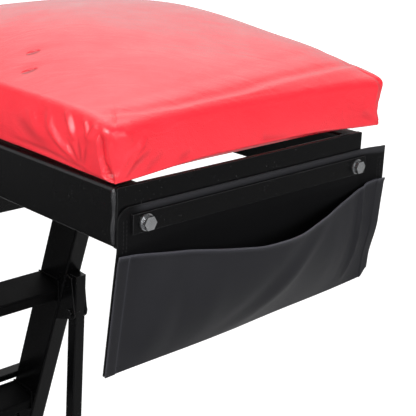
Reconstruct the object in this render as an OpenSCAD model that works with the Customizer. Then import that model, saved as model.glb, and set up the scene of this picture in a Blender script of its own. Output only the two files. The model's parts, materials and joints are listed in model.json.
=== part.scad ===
// Topside creeper: a wheeled folding ladder that carries a padded deck over an engine bay.
// X runs across the creeper, Y from the head end of the deck (-Y) to the ladder side (+Y), Z up.
// The origin lies on the floor, below the middle of the whole box. Left is +X, right is -X.

/* [Deck] */
// Height of the deck frame's top above the floor, at the lowest setting
deck_height = 1210; // [1150:5:1300]
// Outside width of the deck frame
deck_width = 356; // [320:2:430]
// Length of the deck frame
deck_length = 520; // [510:5:640]
// Height of the deck frame's tube
deck_tube_h = 60; // [50:1:72]
// Width of the deck frame's tube
deck_tube_w = 30; // [26:1:36]
// Thickness of the flat plates that close the frame's two ends
end_plate_t = 5; // [4:0.5:6]
// How much longer the pad is than the frame
pad_overrun = 26; // [10:2:40]
// How far the pad stands out past the frame on each side
pad_overhang = 13; // [0:1:20]
// Thickness of the pad at its edges
pad_edge_h = 60; // [50:1:80]
// Rise of the pad's crown above its edges
pad_crown = 50; // [8:1:60]
// Thickness of the plywood board under the foam
board_t = 10; // [8:1:15]
// Thickness of the rubber washers that hold the board off the frame
spacer_t = 8; // [4:0.5:10]

/* [Pouch] */
// Width of the tool pouch
pouch_width = 390; // [330:2:470]
// How far the pouch's middle lies left of the deck's middle
pouch_shift = 17; // [-20:1:20]
// Height of the pouch, from hem to top edge
pouch_height = 174; // [130:2:200]
// Height of the pocket's front panel
pocket_height = 118; // [90:2:150]
// Depth of the pocket, front to back
pocket_depth = 34; // [24:1:50]
// Distance between the two bolts that hold the pouch
pouch_bolt_span = 312; // [250:2:360]

/* [Ladder] */
// Lean of the ladder from upright, in degrees
ladder_lean = 19; // [17:0.5:21]
// Depth of the stile tube, front to back
stile_depth = 60; // [56:1:66]
// Width of the stile tube
stile_w = 30; // [28:1:34]
// Distance between the rungs' top faces
rung_pitch = 238; // [200:1:270]
// Thickness of a rung tube
rung_t = 22; // [18:1:26]
// Travel from one height setting to the next
height_step = 95; // [60:1:95]
// Number of height settings
height_count = 4; // [2:1:4]

/* [Brace] */
// Side of the square brace tube
brace_side = 19; // [17:0.5:21]
// Lean of the brace from upright, in degrees
brace_lean = 2.5; // [1:0.5:4]
// Length of the brace above its upper pivot
brace_head = 63; // [40:1:70]

/* [Base] */
// Length of the base over its two cross tubes
base_length = 1400; // [1350:10:1680]
// Width of the base over its cross tubes
base_width = 700; // [600:10:840]
// Side of the base's cross tubes
cross_side = 50; // [42:1:60]
// Width of the base's long rails
base_rail_w = 30; // [25:1:36]
// Diameter of a caster wheel
wheel_d = 100; // [84:1:120]
// Width of a caster wheel
wheel_w = 30; // [25:1:36]
// How far a caster's wheel trails behind its swivel
caster_trail = 36; // [30:1:43]

/* [Walls and clearances] */
// Wall of the deck and base tubes
tube_wall = 2; // [1.5:0.1:2.5]
// Wall of the ladder stiles and the posts in them
stile_wall = 2; // [1.5:0.1:2.4]
// Thickness of bracket plates
plate_t = 4; // [3:0.5:5]
// Side clearance of a piece that turns between plates
side_gap = 0.5; // [0.3:0.1:0.8]
// Clearance round a post in its stile
post_gap = 0.5; // [0.3:0.1:0.8]
// Radial clearance of a bolt or pin in its hole
pin_gap = 0.05; // [0.02:0.01:0.1]

/* [Hidden] */
round_fn = 48;
eps = 0.01;

// Heights of the base, from the floor up
caster_plate_t = 3;
caster_height = wheel_d + 25;
base_z0 = caster_height + caster_plate_t;
base_z1 = base_z0 + cross_side;

// Across: the stiles stand under the deck's rails, the base's long rails just outside them
stile_x = deck_width / 2 - 1 - stile_w / 2;
base_rail_x0 = stile_x + stile_w / 2 + side_gap + plate_t;
base_rail_x = base_rail_x0 + base_rail_w / 2;
caster_x = base_width / 2 - 36;

// Along: the box runs from the front caster plates to the back of the rear wheels
caster_plate_len = 75;
front_reach = (caster_plate_len - cross_side) / 2;
rear_reach = caster_trail + wheel_d / 2 - cross_side / 2;
base_y0 = -(base_length + rear_reach - front_reach) / 2;
base_y1 = base_y0 + base_length;
front_axis_y = base_y0 + cross_side / 2;
rear_axis_y = base_y1 - cross_side / 2;

// The ladder's foot pivot, and the frame that leans with the ladder
foot_rise = 59;
foot_y = base_y1 - cross_side - 60;
foot_z = base_z1 + foot_rise;
foot_overhang = 28;
foot_bolt_d = 12;

// The deck hangs on a pivot at the head of the two posts
deck_z0 = deck_height - deck_tube_h;
deck_plate_t = 3;
deck_bolt_d = 10;
deck_ear_t = 3;
post_depth = stile_depth - 2 * stile_wall - 2 * post_gap;
post_w = stile_w - 2 * stile_wall - 2 * post_gap;
pivot_drop = post_depth / 2 + 0.5;
pivot_z = deck_z0 - deck_plate_t - pivot_drop;
pivot_s = (pivot_z - foot_z) / cos(ladder_lean);
pivot_y = foot_y - pivot_s * sin(ladder_lean);
pivot_inset = 52.5;
head_y = pivot_y - deck_length + pivot_inset;

// Stations along the stiles, measured up from the foot pivot or down from the deck pivot
height_pin_d = 10;
height_pin_s = 70;
stile_top_drop = 55;
stile_top_s = pivot_s - stile_top_drop;
top_rung_drop = 280;
top_rung_s = pivot_s - top_rung_drop;
post_tie_drop = 34;
rung_setback = 6;
rung_depth = stile_depth - rung_setback;

// Brace: upper pivot in front of the stile, foot in a socket on the base rail
brace_reach = 28;
brace_pivot_drop = 301;
brace_pivot_s = pivot_s - brace_pivot_drop;
brace_bolt_d = 8;
brace_pivot_y = foot_y - brace_pivot_s * sin(ladder_lean)
    - (stile_depth / 2 + brace_reach) * cos(ladder_lean);
brace_pivot_z = foot_z + brace_pivot_s * cos(ladder_lean)
    - (stile_depth / 2 + brace_reach) * sin(ladder_lean);
brace_foot_z = base_z0 + cross_side / 2;
brace_foot_y = brace_pivot_y + (brace_pivot_z - brace_foot_z) * tan(brace_lean);
brace_span = (brace_pivot_z - brace_foot_z) / cos(brace_lean);
thin_wall = 1.6;
brace_pin_d = 10;
brace_pin_pull = 24;

// Pad and pouch
pad_bottom = deck_height + spacer_t;
pad_head_y = head_y - 6;
pad_width = deck_width + 2 * pad_overhang;
pad_length = deck_length + pad_overrun;
pouch_bolt_d = 8;
pouch_bolt_x = pouch_shift / 2;
pouch_bolt_z = deck_height - 37;
pouch_top = deck_height - 20;
sheet_t = 2.4;

steel_black = [0.10, 0.10, 0.11];
zinc = [0.72, 0.73, 0.75];
rubber_black = [0.07, 0.07, 0.07];
vinyl_red = [0.86, 0.10, 0.14];
cloth_black = [0.13, 0.13, 0.14];
plywood = [0.70, 0.55, 0.36];

// ---- shared shapes -------------------------------------------------------

// A point turned by a degrees about the origin
function turned(p, a) = [p[0] * cos(a) - p[1] * sin(a), p[0] * sin(a) + p[1] * cos(a)];

// Corner points of a rectangle with round corners, about its middle
function round_rect(w, h, r, n = 3) = [
    for (c = [[1, 1, 0], [-1, 1, 90], [-1, -1, 180], [1, -1, 270]])
        for (i = [0:n])
            let (a = c[2] + 90 * i / n)
                [c[0] * (w / 2 - r) + r * cos(a), c[1] * (h / 2 - r) + r * sin(a)]
];

// Rectangular tube along +Z, about the Z axis
module tube(length, w, h, wall, r = 4) {
    linear_extrude(length)
        difference() {
            polygon(round_rect(w, h, r));
            polygon(round_rect(w - 2 * wall, h - 2 * wall, max(r - wall, 0.5)));
        }
}

// Tube lying along +X from x0 to x1, with its section's w along Y and h along Z
module tube_x(x0, x1, w, h, wall, r = 4) {
    translate([x0, 0, 0])
        rotate([90, 0, 90])
            tube(x1 - x0, w, h, wall, r);
}

// Tube lying along +Y from y0 to y1, with its section's w along X and h along Z
module tube_y(y0, y1, w, h, wall, r = 4) {
    translate([0, y1, 0])
        rotate([90, 0, 0])
            tube(y1 - y0, w, h, wall, r);
}

// Round bar or bore along +X from x0 to x1
module bar_x(x0, x1, d) {
    translate([x0, 0, 0])
        rotate([0, 90, 0])
            cylinder(h = x1 - x0, d = d, $fn = round_fn);
}

// Flat plate in the YZ plane, from x0 to x1, cut to the 2D outline given as children in (y, z)
module plate_x(x0, x1) {
    translate([x0, 0, 0])
        rotate([90, 0, 90])
            linear_extrude(x1 - x0)
                children();
}

// Hex head of a bolt or a nut along +X, starting at x0
module hex_x(x0, across_flats, t) {
    translate([x0, 0, 0])
        rotate([0, 90, 0])
            cylinder(h = t, d = across_flats / cos(30), $fn = 6);
}

// The ladder's own frame: +Z runs up along the stiles from the foot pivot, +Y to the back
module on_ladder() {
    translate([0, foot_y, foot_z])
        rotate([ladder_lean, 0, 0])
            children();
}

// The brace's own frame: +Z runs up along the brace from its foot pin
module on_brace() {
    translate([0, brace_foot_y, brace_foot_z])
        rotate([brace_lean, 0, 0])
            children();
}

// Mirrors its children to the side given by s, which is 1 for left and -1 for right
module on_side(s) {
    scale_x = s < 0 ? 1 : 0;
    mirror([scale_x, 0, 0])
        children();
}

// Outline of a lug: a round eye about the origin, on a foot between two points
module lug(eye_r, a, b) {
    circle(r = eye_r, $fn = round_fn);
    polygon([[-eye_r, 0], a, b, [eye_r, 0]]);
}

// ---- base ----------------------------------------------------------------

module cross_tube(y) {
    color(steel_black)
        translate([0, y, (base_z0 + base_z1) / 2])
            tube_x(-base_width / 2, base_width / 2, cross_side, cross_side, tube_wall);
}

module base_rail(s) {
    color(steel_black)
        difference() {
            translate([s * base_rail_x, 0, (base_z0 + base_z1) / 2])
                tube_y(base_y0 + cross_side, base_y1 - cross_side, base_rail_w, cross_side,
                    tube_wall);
            on_side(s)
                translate([0, brace_foot_y, brace_foot_z])
                    bar_x(base_rail_x0 - 1, base_rail_x0 + base_rail_w + 1,
                        brace_pin_d + 2 * pin_gap);
        }
}

cap_plug = 18;
cap_flange = 3;
module end_cap() {
    plug_side = cross_side - 2 * tube_wall - 0.6;
    translate([base_width / 2 - cap_plug, 0, 0])
        rotate([90, 0, 90]) {
            linear_extrude(cap_plug + eps)
                polygon(round_rect(plug_side, plug_side, 2));
            translate([0, 0, cap_plug])
                linear_extrude(cap_flange)
                    polygon(round_rect(cross_side, cross_side, 4));
        }
}

module base_end_caps() {
    color(rubber_black)
        for (y = [front_axis_y, rear_axis_y])
            for (s = [1, -1])
                translate([0, y, (base_z0 + base_z1) / 2])
                    on_side(s)
                        end_cap();
}

// Upright bracket that holds the ladder's foot between two ears joined by a rear web
ear_r = 22;
web_gap = 4;
web_y = norm([stile_depth / 2, foot_overhang]) + web_gap;
web_h = 80;
foot_skirt = 38;
module foot_bracket(s) {
    ear_x = stile_x - stile_w / 2 - side_gap - plate_t;
    color(steel_black)
        on_side(s)
            translate([0, foot_y, foot_z])
                difference() {
                    union() {
                        for (x = [ear_x, base_rail_x0 - plate_t])
                            plate_x(x, x + plate_t)
                                lug(ear_r, [-48, -foot_rise - foot_skirt],
                                    [web_y + plate_t, -foot_rise - foot_skirt]);
                        translate([ear_x, web_y, -foot_rise - foot_skirt])
                            cube([base_rail_x0 - ear_x, plate_t, web_h]);
                    }
                    bar_x(ear_x - 1, base_rail_x0 + 1, foot_bolt_d + 2 * pin_gap);
                }
}

foot_head_t = 7;
module foot_bolts() {
    ear_x = stile_x - stile_w / 2 - side_gap - plate_t;
    nut_t = 10;
    color(zinc)
        for (s = [1, -1])
            on_side(s)
                translate([0, foot_y, foot_z]) {
                    bar_x(ear_x - nut_t - 2, base_rail_x0, foot_bolt_d);
                    hex_x(base_rail_x0, 18, foot_head_t);
                    difference() {
                        hex_x(ear_x - nut_t, 18, nut_t);
                        bar_x(ear_x - nut_t - 1, ear_x + 1, foot_bolt_d + 2 * pin_gap);
                    }
                }
}

// Socket for the foot of the brace: two cheeks joined by a front web, open behind and below
module brace_socket(s) {
    cheek_t = 3;
    slot = brace_side + 2 * side_gap;
    in_x = stile_x - slot / 2;
    out_x = stile_x + slot / 2;
    z0 = -cross_side / 2 + 3;
    socket_h = cross_side - 6;
    front_y = -24;
    color(steel_black)
        on_side(s)
            translate([0, brace_foot_y, brace_foot_z])
                difference() {
                    union() {
                        for (x = [in_x - cheek_t, out_x])
                            translate([x, front_y, z0])
                                cube([cheek_t, 40, socket_h]);
                        translate([in_x - cheek_t, front_y - cheek_t, z0])
                            cube([base_rail_x0 - in_x + cheek_t, cheek_t, socket_h]);
                    }
                    bar_x(in_x - 10, base_rail_x0, brace_pin_d + 2 * pin_gap);
                }
}

// Release pin of the brace, drawn pulled: its tip stands in the socket's outer cheek
module brace_pin(s) {
    tip_x = stile_x + brace_side / 2 + side_gap + 1;
    grip_x = base_rail_x0 + base_rail_w + brace_pin_pull + 2;
    ring_r = 15;
    color(zinc)
        on_side(s)
            translate([0, brace_foot_y, brace_foot_z]) {
                bar_x(tip_x, grip_x + 1, brace_pin_d);
                bar_x(grip_x, grip_x + 5, 18);
                translate([grip_x + 5 + ring_r - 1, 0, 0])
                    rotate_extrude($fn = round_fn)
                        translate([ring_r, 0])
                            circle(d = 4, $fn = 16);
            }
}

// ---- casters -------------------------------------------------------------

function caster_spot(front, s) = [s * caster_x, front ? front_axis_y : rear_axis_y, 0];
plate_bolt = [28, 32];
bearing_z = caster_height - 12;
king_d = 10;
crown_t = 8;
king_z = bearing_z - crown_t - 3.3;

module caster_plates() {
    color(zinc)
        for (front = [true, false])
            for (s = [1, -1])
                translate(caster_spot(front, s))
                    difference() {
                        union() {
                            translate([0, 0, caster_height])
                                linear_extrude(caster_plate_t)
                                    polygon(round_rect(cross_side + 18, caster_plate_len, 6));
                            translate([0, 0, caster_height - 4])
                                cylinder(h = 4 + eps, d = 44, $fn = round_fn);
                            translate([0, 0, king_z])
                                cylinder(h = caster_height - king_z + eps, d = king_d,
                                    $fn = round_fn);
                            translate([0, 0, king_z])
                                cylinder(h = 3, d = 18, $fn = round_fn);
                        }
                        for (x = [1, -1])
                            for (y = [1, -1])
                                translate([x * plate_bolt[0], y * plate_bolt[1], caster_height - 1])
                                    cylinder(h = caster_plate_t + 2, d = 6.2, $fn = 24);
                    }
}

module caster_plate_bolts() {
    color(zinc)
        for (front = [true, false])
            for (s = [1, -1])
                translate(caster_spot(front, s))
                    for (x = [1, -1])
                        for (y = [1, -1])
                            translate([x * plate_bolt[0], y * plate_bolt[1], 0]) {
                                translate([0, 0, caster_height - 4])
                                    cylinder(h = 4, d = 11, $fn = 6);
                                translate([0, 0, caster_height - 1])
                                    cylinder(h = caster_plate_t + 1 + 2, d = 6, $fn = 24);
                            }
}

// Swivel fork: a bearing cup over two cheeks, with the axle bolt through them
fork_t = 3;
fork_gap = 2;
axle_d = 8;
module caster_fork(front, s) {
    cheek_x = wheel_w / 2 + fork_gap;
    crown_z = bearing_z - crown_t;
    color(zinc)
        translate(caster_spot(front, s)) {
            difference() {
                union() {
                    translate([0, 0, crown_z])
                        cylinder(h = crown_t + 7.5, d = 52, $fn = round_fn);
                    translate([-cheek_x - fork_t, -16, crown_z])
                        cube([2 * (cheek_x + fork_t), caster_trail + 10, fork_t]);
                    for (x = [-cheek_x - fork_t, cheek_x])
                        plate_x(x, x + fork_t) {
                            translate([caster_trail, wheel_d / 2])
                                circle(r = 13, $fn = round_fn);
                            polygon([[-16, crown_z + fork_t], [caster_trail - 13, wheel_d / 2],
                                [caster_trail, wheel_d / 2 - 12], [caster_trail + 13,
                                wheel_d / 2], [caster_trail - 6, crown_z + fork_t]]);
                            if (!front) {
                                translate([pedal_y, pedal_z])
                                    circle(r = 7, $fn = round_fn);
                                polygon([[0, crown_z + fork_t], [pedal_y + 1, pedal_z + 6],
                                    [pedal_y - 3, pedal_z - 6], [8, pedal_z - 12]]);
                            }
                        }
                }
                if (!front)
                    translate([0, pedal_y, pedal_z])
                        bar_x(-cheek_x - 5, cheek_x + 5, pedal_pin_d + 2 * pin_gap);
                translate([0, 0, bearing_z])
                    cylinder(h = 20, d = 45, $fn = round_fn);
                translate([0, 0, bearing_z - 20])
                    cylinder(h = 30, d = king_d + 2 * pin_gap, $fn = round_fn);
                translate([0, caster_trail, wheel_d / 2])
                    bar_x(-cheek_x - 5, cheek_x + 5, axle_d + 2 * pin_gap);
            }
            translate([0, caster_trail, wheel_d / 2]) {
                bar_x(-cheek_x - fork_t, cheek_x + fork_t + 1, axle_d);
                hex_x(cheek_x + fork_t, 13, 5);
                hex_x(-cheek_x - fork_t - 6, 13, 6);
            }
        }
}

module caster_wheel(front, s) {
    hub_w = wheel_w + 2 * (fork_gap - 0.5);
    tread_r = wheel_d / 2;
    color(rubber_black)
        translate(caster_spot(front, s) + [0, caster_trail, wheel_d / 2])
            rotate([0, 90, 0])
                rotate_extrude($fn = 64)
                    polygon([
                        [axle_d / 2 + pin_gap, -hub_w / 2], [11, -hub_w / 2],
                        [14, -wheel_w / 2 + 6], [tread_r - 17, -wheel_w / 2 + 6],
                        [tread_r - 15, -wheel_w / 2], [tread_r - 5, -wheel_w / 2],
                        [tread_r, -wheel_w / 2 + 6], [tread_r, wheel_w / 2 - 6],
                        [tread_r - 5, wheel_w / 2], [tread_r - 15, wheel_w / 2],
                        [tread_r - 17, wheel_w / 2 - 6], [14, wheel_w / 2 - 6],
                        [11, hub_w / 2], [axle_d / 2 + pin_gap, hub_w / 2]
                    ]);
}

// Foot pedal of a rear caster's brake, hinged behind the wheel on a pin through the fork, with
// a cam that comes down on the tread
pedal_pin_d = 6;
pedal_rise = 7.3;
pedal_angle = 65;
pedal_y = caster_trail + (wheel_d / 2 + pedal_rise) * cos(pedal_angle);
pedal_z = wheel_d / 2 + (wheel_d / 2 + pedal_rise) * sin(pedal_angle);
module brake_pedal(s) {
    cheek_x = wheel_w / 2 + fork_gap;
    color(zinc)
        translate(caster_spot(false, s) + [0, pedal_y, pedal_z]) {
            bar_x(-cheek_x - fork_t - 1, cheek_x + fork_t + 1, pedal_pin_d);
            plate_x(-cheek_x + 1, cheek_x - 1) {
                circle(d = pedal_pin_d + 2, $fn = round_fn);
                translate([4.5, -2.1])
                    circle(r = 5.2, $fn = round_fn);
                polygon([[0, 4], [24, 11], [26, 8], [7, -1]]);
            }
        }
}

// ---- ladder --------------------------------------------------------------

stile_r = 3;
module stile(s) {
    color(steel_black)
        on_side(s)
            on_ladder()
                difference() {
                    translate([stile_x, 0, -foot_overhang])
                        tube(stile_top_s + foot_overhang, stile_w, stile_depth, stile_wall,
                            stile_r);
                    bar_x(stile_x - stile_w, stile_x + stile_w, foot_bolt_d + 2 * pin_gap);
                    for (i = [0:height_count - 1])
                        translate([0, 0, height_pin_s + i * height_step])
                            bar_x(stile_x - stile_w, stile_x + stile_w,
                                height_pin_d + 2 * pin_gap);
                }
}

module rung(i) {
    color(steel_black)
        on_ladder()
            translate([0, rung_setback / 2, top_rung_s - (i - 1) * rung_pitch - rung_t / 2])
                tube_x(-stile_x + stile_w / 2, stile_x - stile_w / 2, rung_depth, rung_t,
                    tube_wall, 3);
}

// Upright flat tube that ties the stiles at their heads, flush with their fronts
top_bar_h = 36;
module top_bar() {
    depth = 20;
    color(steel_black)
        on_ladder()
            translate([0, -stile_depth / 2 + depth / 2, stile_top_s - 3 - top_bar_h / 2])
                tube_x(-stile_x + stile_w / 2, stile_x - stile_w / 2, depth, top_bar_h,
                    tube_wall, 3);
}

// Thin bar across the backs of the stiles, just above the middle rung
tie_depth = 18;
tie_h = 14;
tie_rise = 10;
module rear_tie_bar() {
    color(steel_black)
        on_ladder()
            translate([0, stile_depth / 2 + tie_depth / 2, top_rung_s - rung_pitch + tie_rise])
                tube_x(-stile_x - stile_w / 2, stile_x + stile_w / 2, tie_depth, tie_h,
                    thin_wall, 2);
}

// Forward bracket of the brace: two ears on a plate against the stile's front
bracket_ear = 2.5;
bracket_top = 56;
module brace_bracket(s) {
    in_x = stile_x - brace_side / 2 - side_gap - bracket_ear;
    out_x = stile_x + brace_side / 2 + side_gap;
    front = -stile_depth / 2;
    color(steel_black)
        on_side(s)
            on_ladder()
                difference() {
                    union() {
                        for (x = [in_x, out_x])
                            plate_x(x, x + bracket_ear)
                                translate([front - brace_reach, brace_pivot_s]) {
                                    circle(r = 11, $fn = round_fn);
                                    polygon([[-9, 6], [brace_reach - 12, bracket_top],
                                        [brace_reach, bracket_top], [brace_reach, -34],
                                        [-9, -6]]);
                                }
                        translate([in_x, front - 3, brace_pivot_s - 34])
                            cube([out_x + bracket_ear - in_x, 3, 54]);
                    }
                    translate([0, front - brace_reach, brace_pivot_s])
                        bar_x(in_x - 1, out_x + 4, brace_bolt_d + 2 * pin_gap);
                }
}

// Low round heads outside, thin nuts inside
module brace_bolts() {
    in_x = stile_x - brace_side / 2 - side_gap - bracket_ear;
    out_x = stile_x + brace_side / 2 + side_gap + bracket_ear;
    nut_t = 4;
    color(steel_black)
        for (s = [1, -1])
            on_side(s)
                on_ladder()
                    translate([0, -stile_depth / 2 - brace_reach, brace_pivot_s]) {
                        bar_x(in_x - nut_t, out_x, brace_bolt_d);
                        bar_x(out_x, out_x + 3.5, 14);
                        difference() {
                            hex_x(in_x - nut_t, 12, nut_t);
                            bar_x(in_x - nut_t - 1, in_x + 1, brace_bolt_d + 2 * pin_gap);
                        }
                    }
}

// Plastic guide round each post, capping the stile's head
collar_h = 7;
collar_gap = 0.3;
module stile_collars() {
    color(rubber_black)
        for (s = [1, -1])
            on_side(s)
                on_ladder()
                    translate([stile_x, 0, stile_top_s])
                        linear_extrude(collar_h)
                            difference() {
                                polygon(round_rect(stile_w, stile_depth, stile_r));
                                polygon(round_rect(post_w + 2 * collar_gap,
                                    post_depth + 2 * collar_gap, 2));
                            }
}

module brace(s) {
    end_r = brace_side / 2;
    cap_t = 3;
    foot_end = 12;
    color(steel_black)
        on_side(s)
            on_brace()
                difference() {
                    union() {
                        translate([stile_x, 0, -foot_end])
                            tube(foot_end + brace_span + brace_head, brace_side, brace_side,
                                thin_wall, 2);
                        translate([stile_x, 0, brace_span + brace_head - cap_t])
                            linear_extrude(cap_t)
                                square(brace_side - 2, center = true);
                    }
                    bar_x(stile_x - end_r - 1, stile_x + end_r + 1, brace_pin_d + 2 * pin_gap);
                    translate([0, 0, brace_span])
                        bar_x(stile_x - end_r - 1, stile_x + end_r + 1,
                            brace_bolt_d + 2 * pin_gap);
                }
}

// Pin that carries a post's foot in the stile, with a pull ring outside
module height_pin(s) {
    face_x = stile_x + stile_w / 2;
    ring_r = 12;
    color(zinc)
        on_side(s)
            on_ladder()
                translate([0, 0, height_pin_s]) {
                    bar_x(stile_x - stile_w / 2 - 6, face_x + 4, height_pin_d);
                    bar_x(face_x + 0.5, face_x + 5, 16);
                    translate([face_x + 5 + ring_r - 1, 0, 0])
                        rotate_extrude($fn = round_fn)
                            translate([ring_r, 0])
                                circle(d = 3.5, $fn = 16);
                }
}

// ---- posts ---------------------------------------------------------------

// The post's head is round about the deck pivot behind, and cut flat in front, where the
// deck's bracket comes down on it and stops
post_foot_s = height_pin_s + height_pin_d / 2 + 0.3;
module post(s) {
    neck = 30;
    plug = 12;
    color(steel_black)
        on_side(s)
            difference() {
                union() {
                    on_ladder()
                        translate([stile_x, 0, post_foot_s])
                            tube(pivot_s - neck - post_foot_s, post_w, post_depth, stile_wall, 2);
                    on_ladder()
                        translate([stile_x, 0, pivot_s - neck - plug])
                            linear_extrude(2 * plug)
                                square([post_w - 2 * stile_wall + 0.6,
                                    post_depth - 2 * stile_wall + 0.6], center = true);
                    translate([0, pivot_y, pivot_z])
                        plate_x(stile_x - post_w / 2, stile_x + post_w / 2)
                            post_head(neck);
                }
                translate([0, pivot_y, pivot_z])
                    bar_x(stile_x - stile_w, stile_x + stile_w, deck_bolt_d + 2 * pin_gap);
            }
}

// Outline of the post's head about the pivot, in (y, z): the neck, the round back, then the
// flat seat and the nose in front
module post_head(neck) {
    r = post_depth / 2;
    seat_z = pivot_drop - 0.3;
    nose = r + 6;
    nose_z = (nose - r * cos(ladder_lean)) / tan(ladder_lean) - r * sin(ladder_lean);
    polygon(concat(
        [turned([-r, -neck], ladder_lean), turned([r, -neck], ladder_lean)],
        [for (i = [0:12]) turned([r, 0], ladder_lean + (90 - ladder_lean) * i / 12)],
        [[0, seat_z], [-nose, seat_z], [-nose, nose_z]]
    ));
}

// Square bar that ties the two posts just under the deck
module post_tie() {
    side = 16;
    color(steel_black)
        on_ladder()
            translate([0, 0, pivot_s - post_tie_drop])
                tube_x(-stile_x + post_w / 2, stile_x - post_w / 2, side, side, tube_wall, 2);
}

// ---- deck ----------------------------------------------------------------

module deck_rail(s) {
    color(steel_black)
        on_side(s)
            translate([deck_width / 2 - deck_tube_w / 2, 0, deck_height - deck_tube_h / 2])
                tube_y(head_y + end_plate_t, head_y + deck_length - end_plate_t, deck_tube_w,
                    deck_tube_h, tube_wall, 4);
}

// Flat plate over both rails' ends; the front one has two tapped holes for the pouch's bolts
module end_member(front) {
    y0 = front ? head_y : head_y + deck_length - end_plate_t;
    color(steel_black)
        difference() {
            translate([0, y0 + end_plate_t, deck_height - deck_tube_h / 2])
                rotate([90, 0, 0])
                    linear_extrude(end_plate_t)
                        polygon(round_rect(deck_width, deck_tube_h, 2));
            if (front)
                for (s = [1, -1])
                    translate([pouch_bolt_x + s * pouch_bolt_span / 2, y0 - 1, pouch_bolt_z])
                        rotate([-90, 0, 0])
                            cylinder(h = end_plate_t + 2, d = pouch_bolt_d + 2 * pin_gap,
                                $fn = round_fn);
        }
}

inner_w = 40;
inner_h = 20;
module inner_member(y) {
    color(steel_black)
        difference() {
            translate([0, y, deck_height - inner_h / 2])
                tube_x(-deck_width / 2 + deck_tube_w, deck_width / 2 - deck_tube_w, inner_w,
                    inner_h, tube_wall, 3);
            for (x = [1, -1])
                translate([x * screw_x, y, deck_height - inner_h - 1])
                    cylinder(h = inner_h + 2, d = 6.2, $fn = 32);
        }
}
front_inner_y = head_y + 205;
rear_inner_y = head_y + deck_length - 90;
screw_x = deck_width / 2 - deck_tube_w - 45;

// Bracket welded under the deck rail, with two ears beside the post's head
module deck_bracket(s) {
    in_x = stile_x - post_w / 2 - side_gap - deck_ear_t;
    out_x = stile_x + post_w / 2 + side_gap;
    front_y = -42;
    plate_len = 82;
    color(steel_black)
        on_side(s)
            translate([0, pivot_y, pivot_z])
                difference() {
                    union() {
                        for (x = [in_x, out_x])
                            plate_x(x, x + deck_ear_t)
                                rotate(180)
                                    lug(15, [front_y, -pivot_drop - deck_plate_t],
                                        [plate_len + front_y, -pivot_drop - deck_plate_t]);
                        translate([in_x, front_y, pivot_drop])
                            cube([out_x + deck_ear_t - in_x, plate_len, deck_plate_t]);
                    }
                    bar_x(in_x - 1, out_x + deck_ear_t + 1, deck_bolt_d + 2 * pin_gap);
                }
}

module deck_bolts() {
    in_x = stile_x - post_w / 2 - side_gap - deck_ear_t;
    out_x = stile_x + post_w / 2 + side_gap + deck_ear_t;
    nut_t = 8;
    color(zinc)
        for (s = [1, -1])
            on_side(s)
                translate([0, pivot_y, pivot_z]) {
                    bar_x(in_x - nut_t - 1, out_x, deck_bolt_d);
                    hex_x(out_x, 16, 6);
                    difference() {
                        hex_x(in_x - nut_t, 16, nut_t);
                        bar_x(in_x - nut_t - 1, in_x + 1, deck_bolt_d + 2 * pin_gap);
                    }
                }
}

// ---- pad -----------------------------------------------------------------

board_inset = 14;
module pad_board() {
    color(plywood)
        difference() {
            translate([0, pad_head_y + pad_length / 2, pad_bottom])
                linear_extrude(board_t)
                    polygon(round_rect(pad_width - 2 * board_inset,
                        pad_length - 2 * board_inset, 8));
            for (y = [front_inner_y, rear_inner_y])
                for (x = [1, -1])
                    translate([x * screw_x, y, pad_bottom - 1])
                        cylinder(h = board_t + 2, d = 6.2, $fn = 32);
        }
}

module pad_spacers() {
    color(rubber_black)
        for (y = [front_inner_y, rear_inner_y])
            for (x = [1, -1])
                translate([x * screw_x, y, deck_height])
                    difference() {
                        cylinder(h = spacer_t, d = 26, $fn = round_fn);
                        translate([0, 0, -1])
                            cylinder(h = spacer_t + 2, d = 6.2, $fn = 32);
                    }
}

module pad_screws() {
    shank = inner_h + spacer_t + board_t - 2;
    color(zinc)
        for (y = [front_inner_y, rear_inner_y])
            for (x = [1, -1])
                translate([x * screw_x, y, deck_height - inner_h]) {
                    cylinder(h = shank, d = 6, $fn = 32);
                    translate([0, 0, -4])
                        cylinder(h = 4, d = 10 / cos(30), $fn = 6);
                }
}

// Slab with round edges, as the hull of a waist slab and a smaller top
module pad() {
    soft_gap = 0.3;
    r = 10;
    crown_inset = 80;
    color(vinyl_red)
        translate([0, pad_head_y + pad_length / 2, pad_bottom])
            difference() {
                hull() {
                    translate([0, 0, 6])
                        linear_extrude(pad_edge_h - 6 - r)
                            polygon(round_rect(pad_width, pad_length, r + 4));
                    linear_extrude(1)
                        polygon(round_rect(pad_width - 8, pad_length - 8, r));
                    linear_extrude(pad_edge_h)
                        polygon(round_rect(pad_width - 2 * r, pad_length - 2 * r, r));
                    linear_extrude(pad_edge_h + pad_crown)
                        polygon(round_rect(pad_width - 2 * crown_inset,
                            pad_length - 2 * crown_inset, 30));
                }
                translate([0, 0, -1])
                    linear_extrude(board_t + 1 + soft_gap)
                        polygon(round_rect(pad_width - 2 * board_inset + 2 * soft_gap,
                            pad_length - 2 * board_inset + 2 * soft_gap, 8));
            }
}

// ---- pouch ---------------------------------------------------------------

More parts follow.
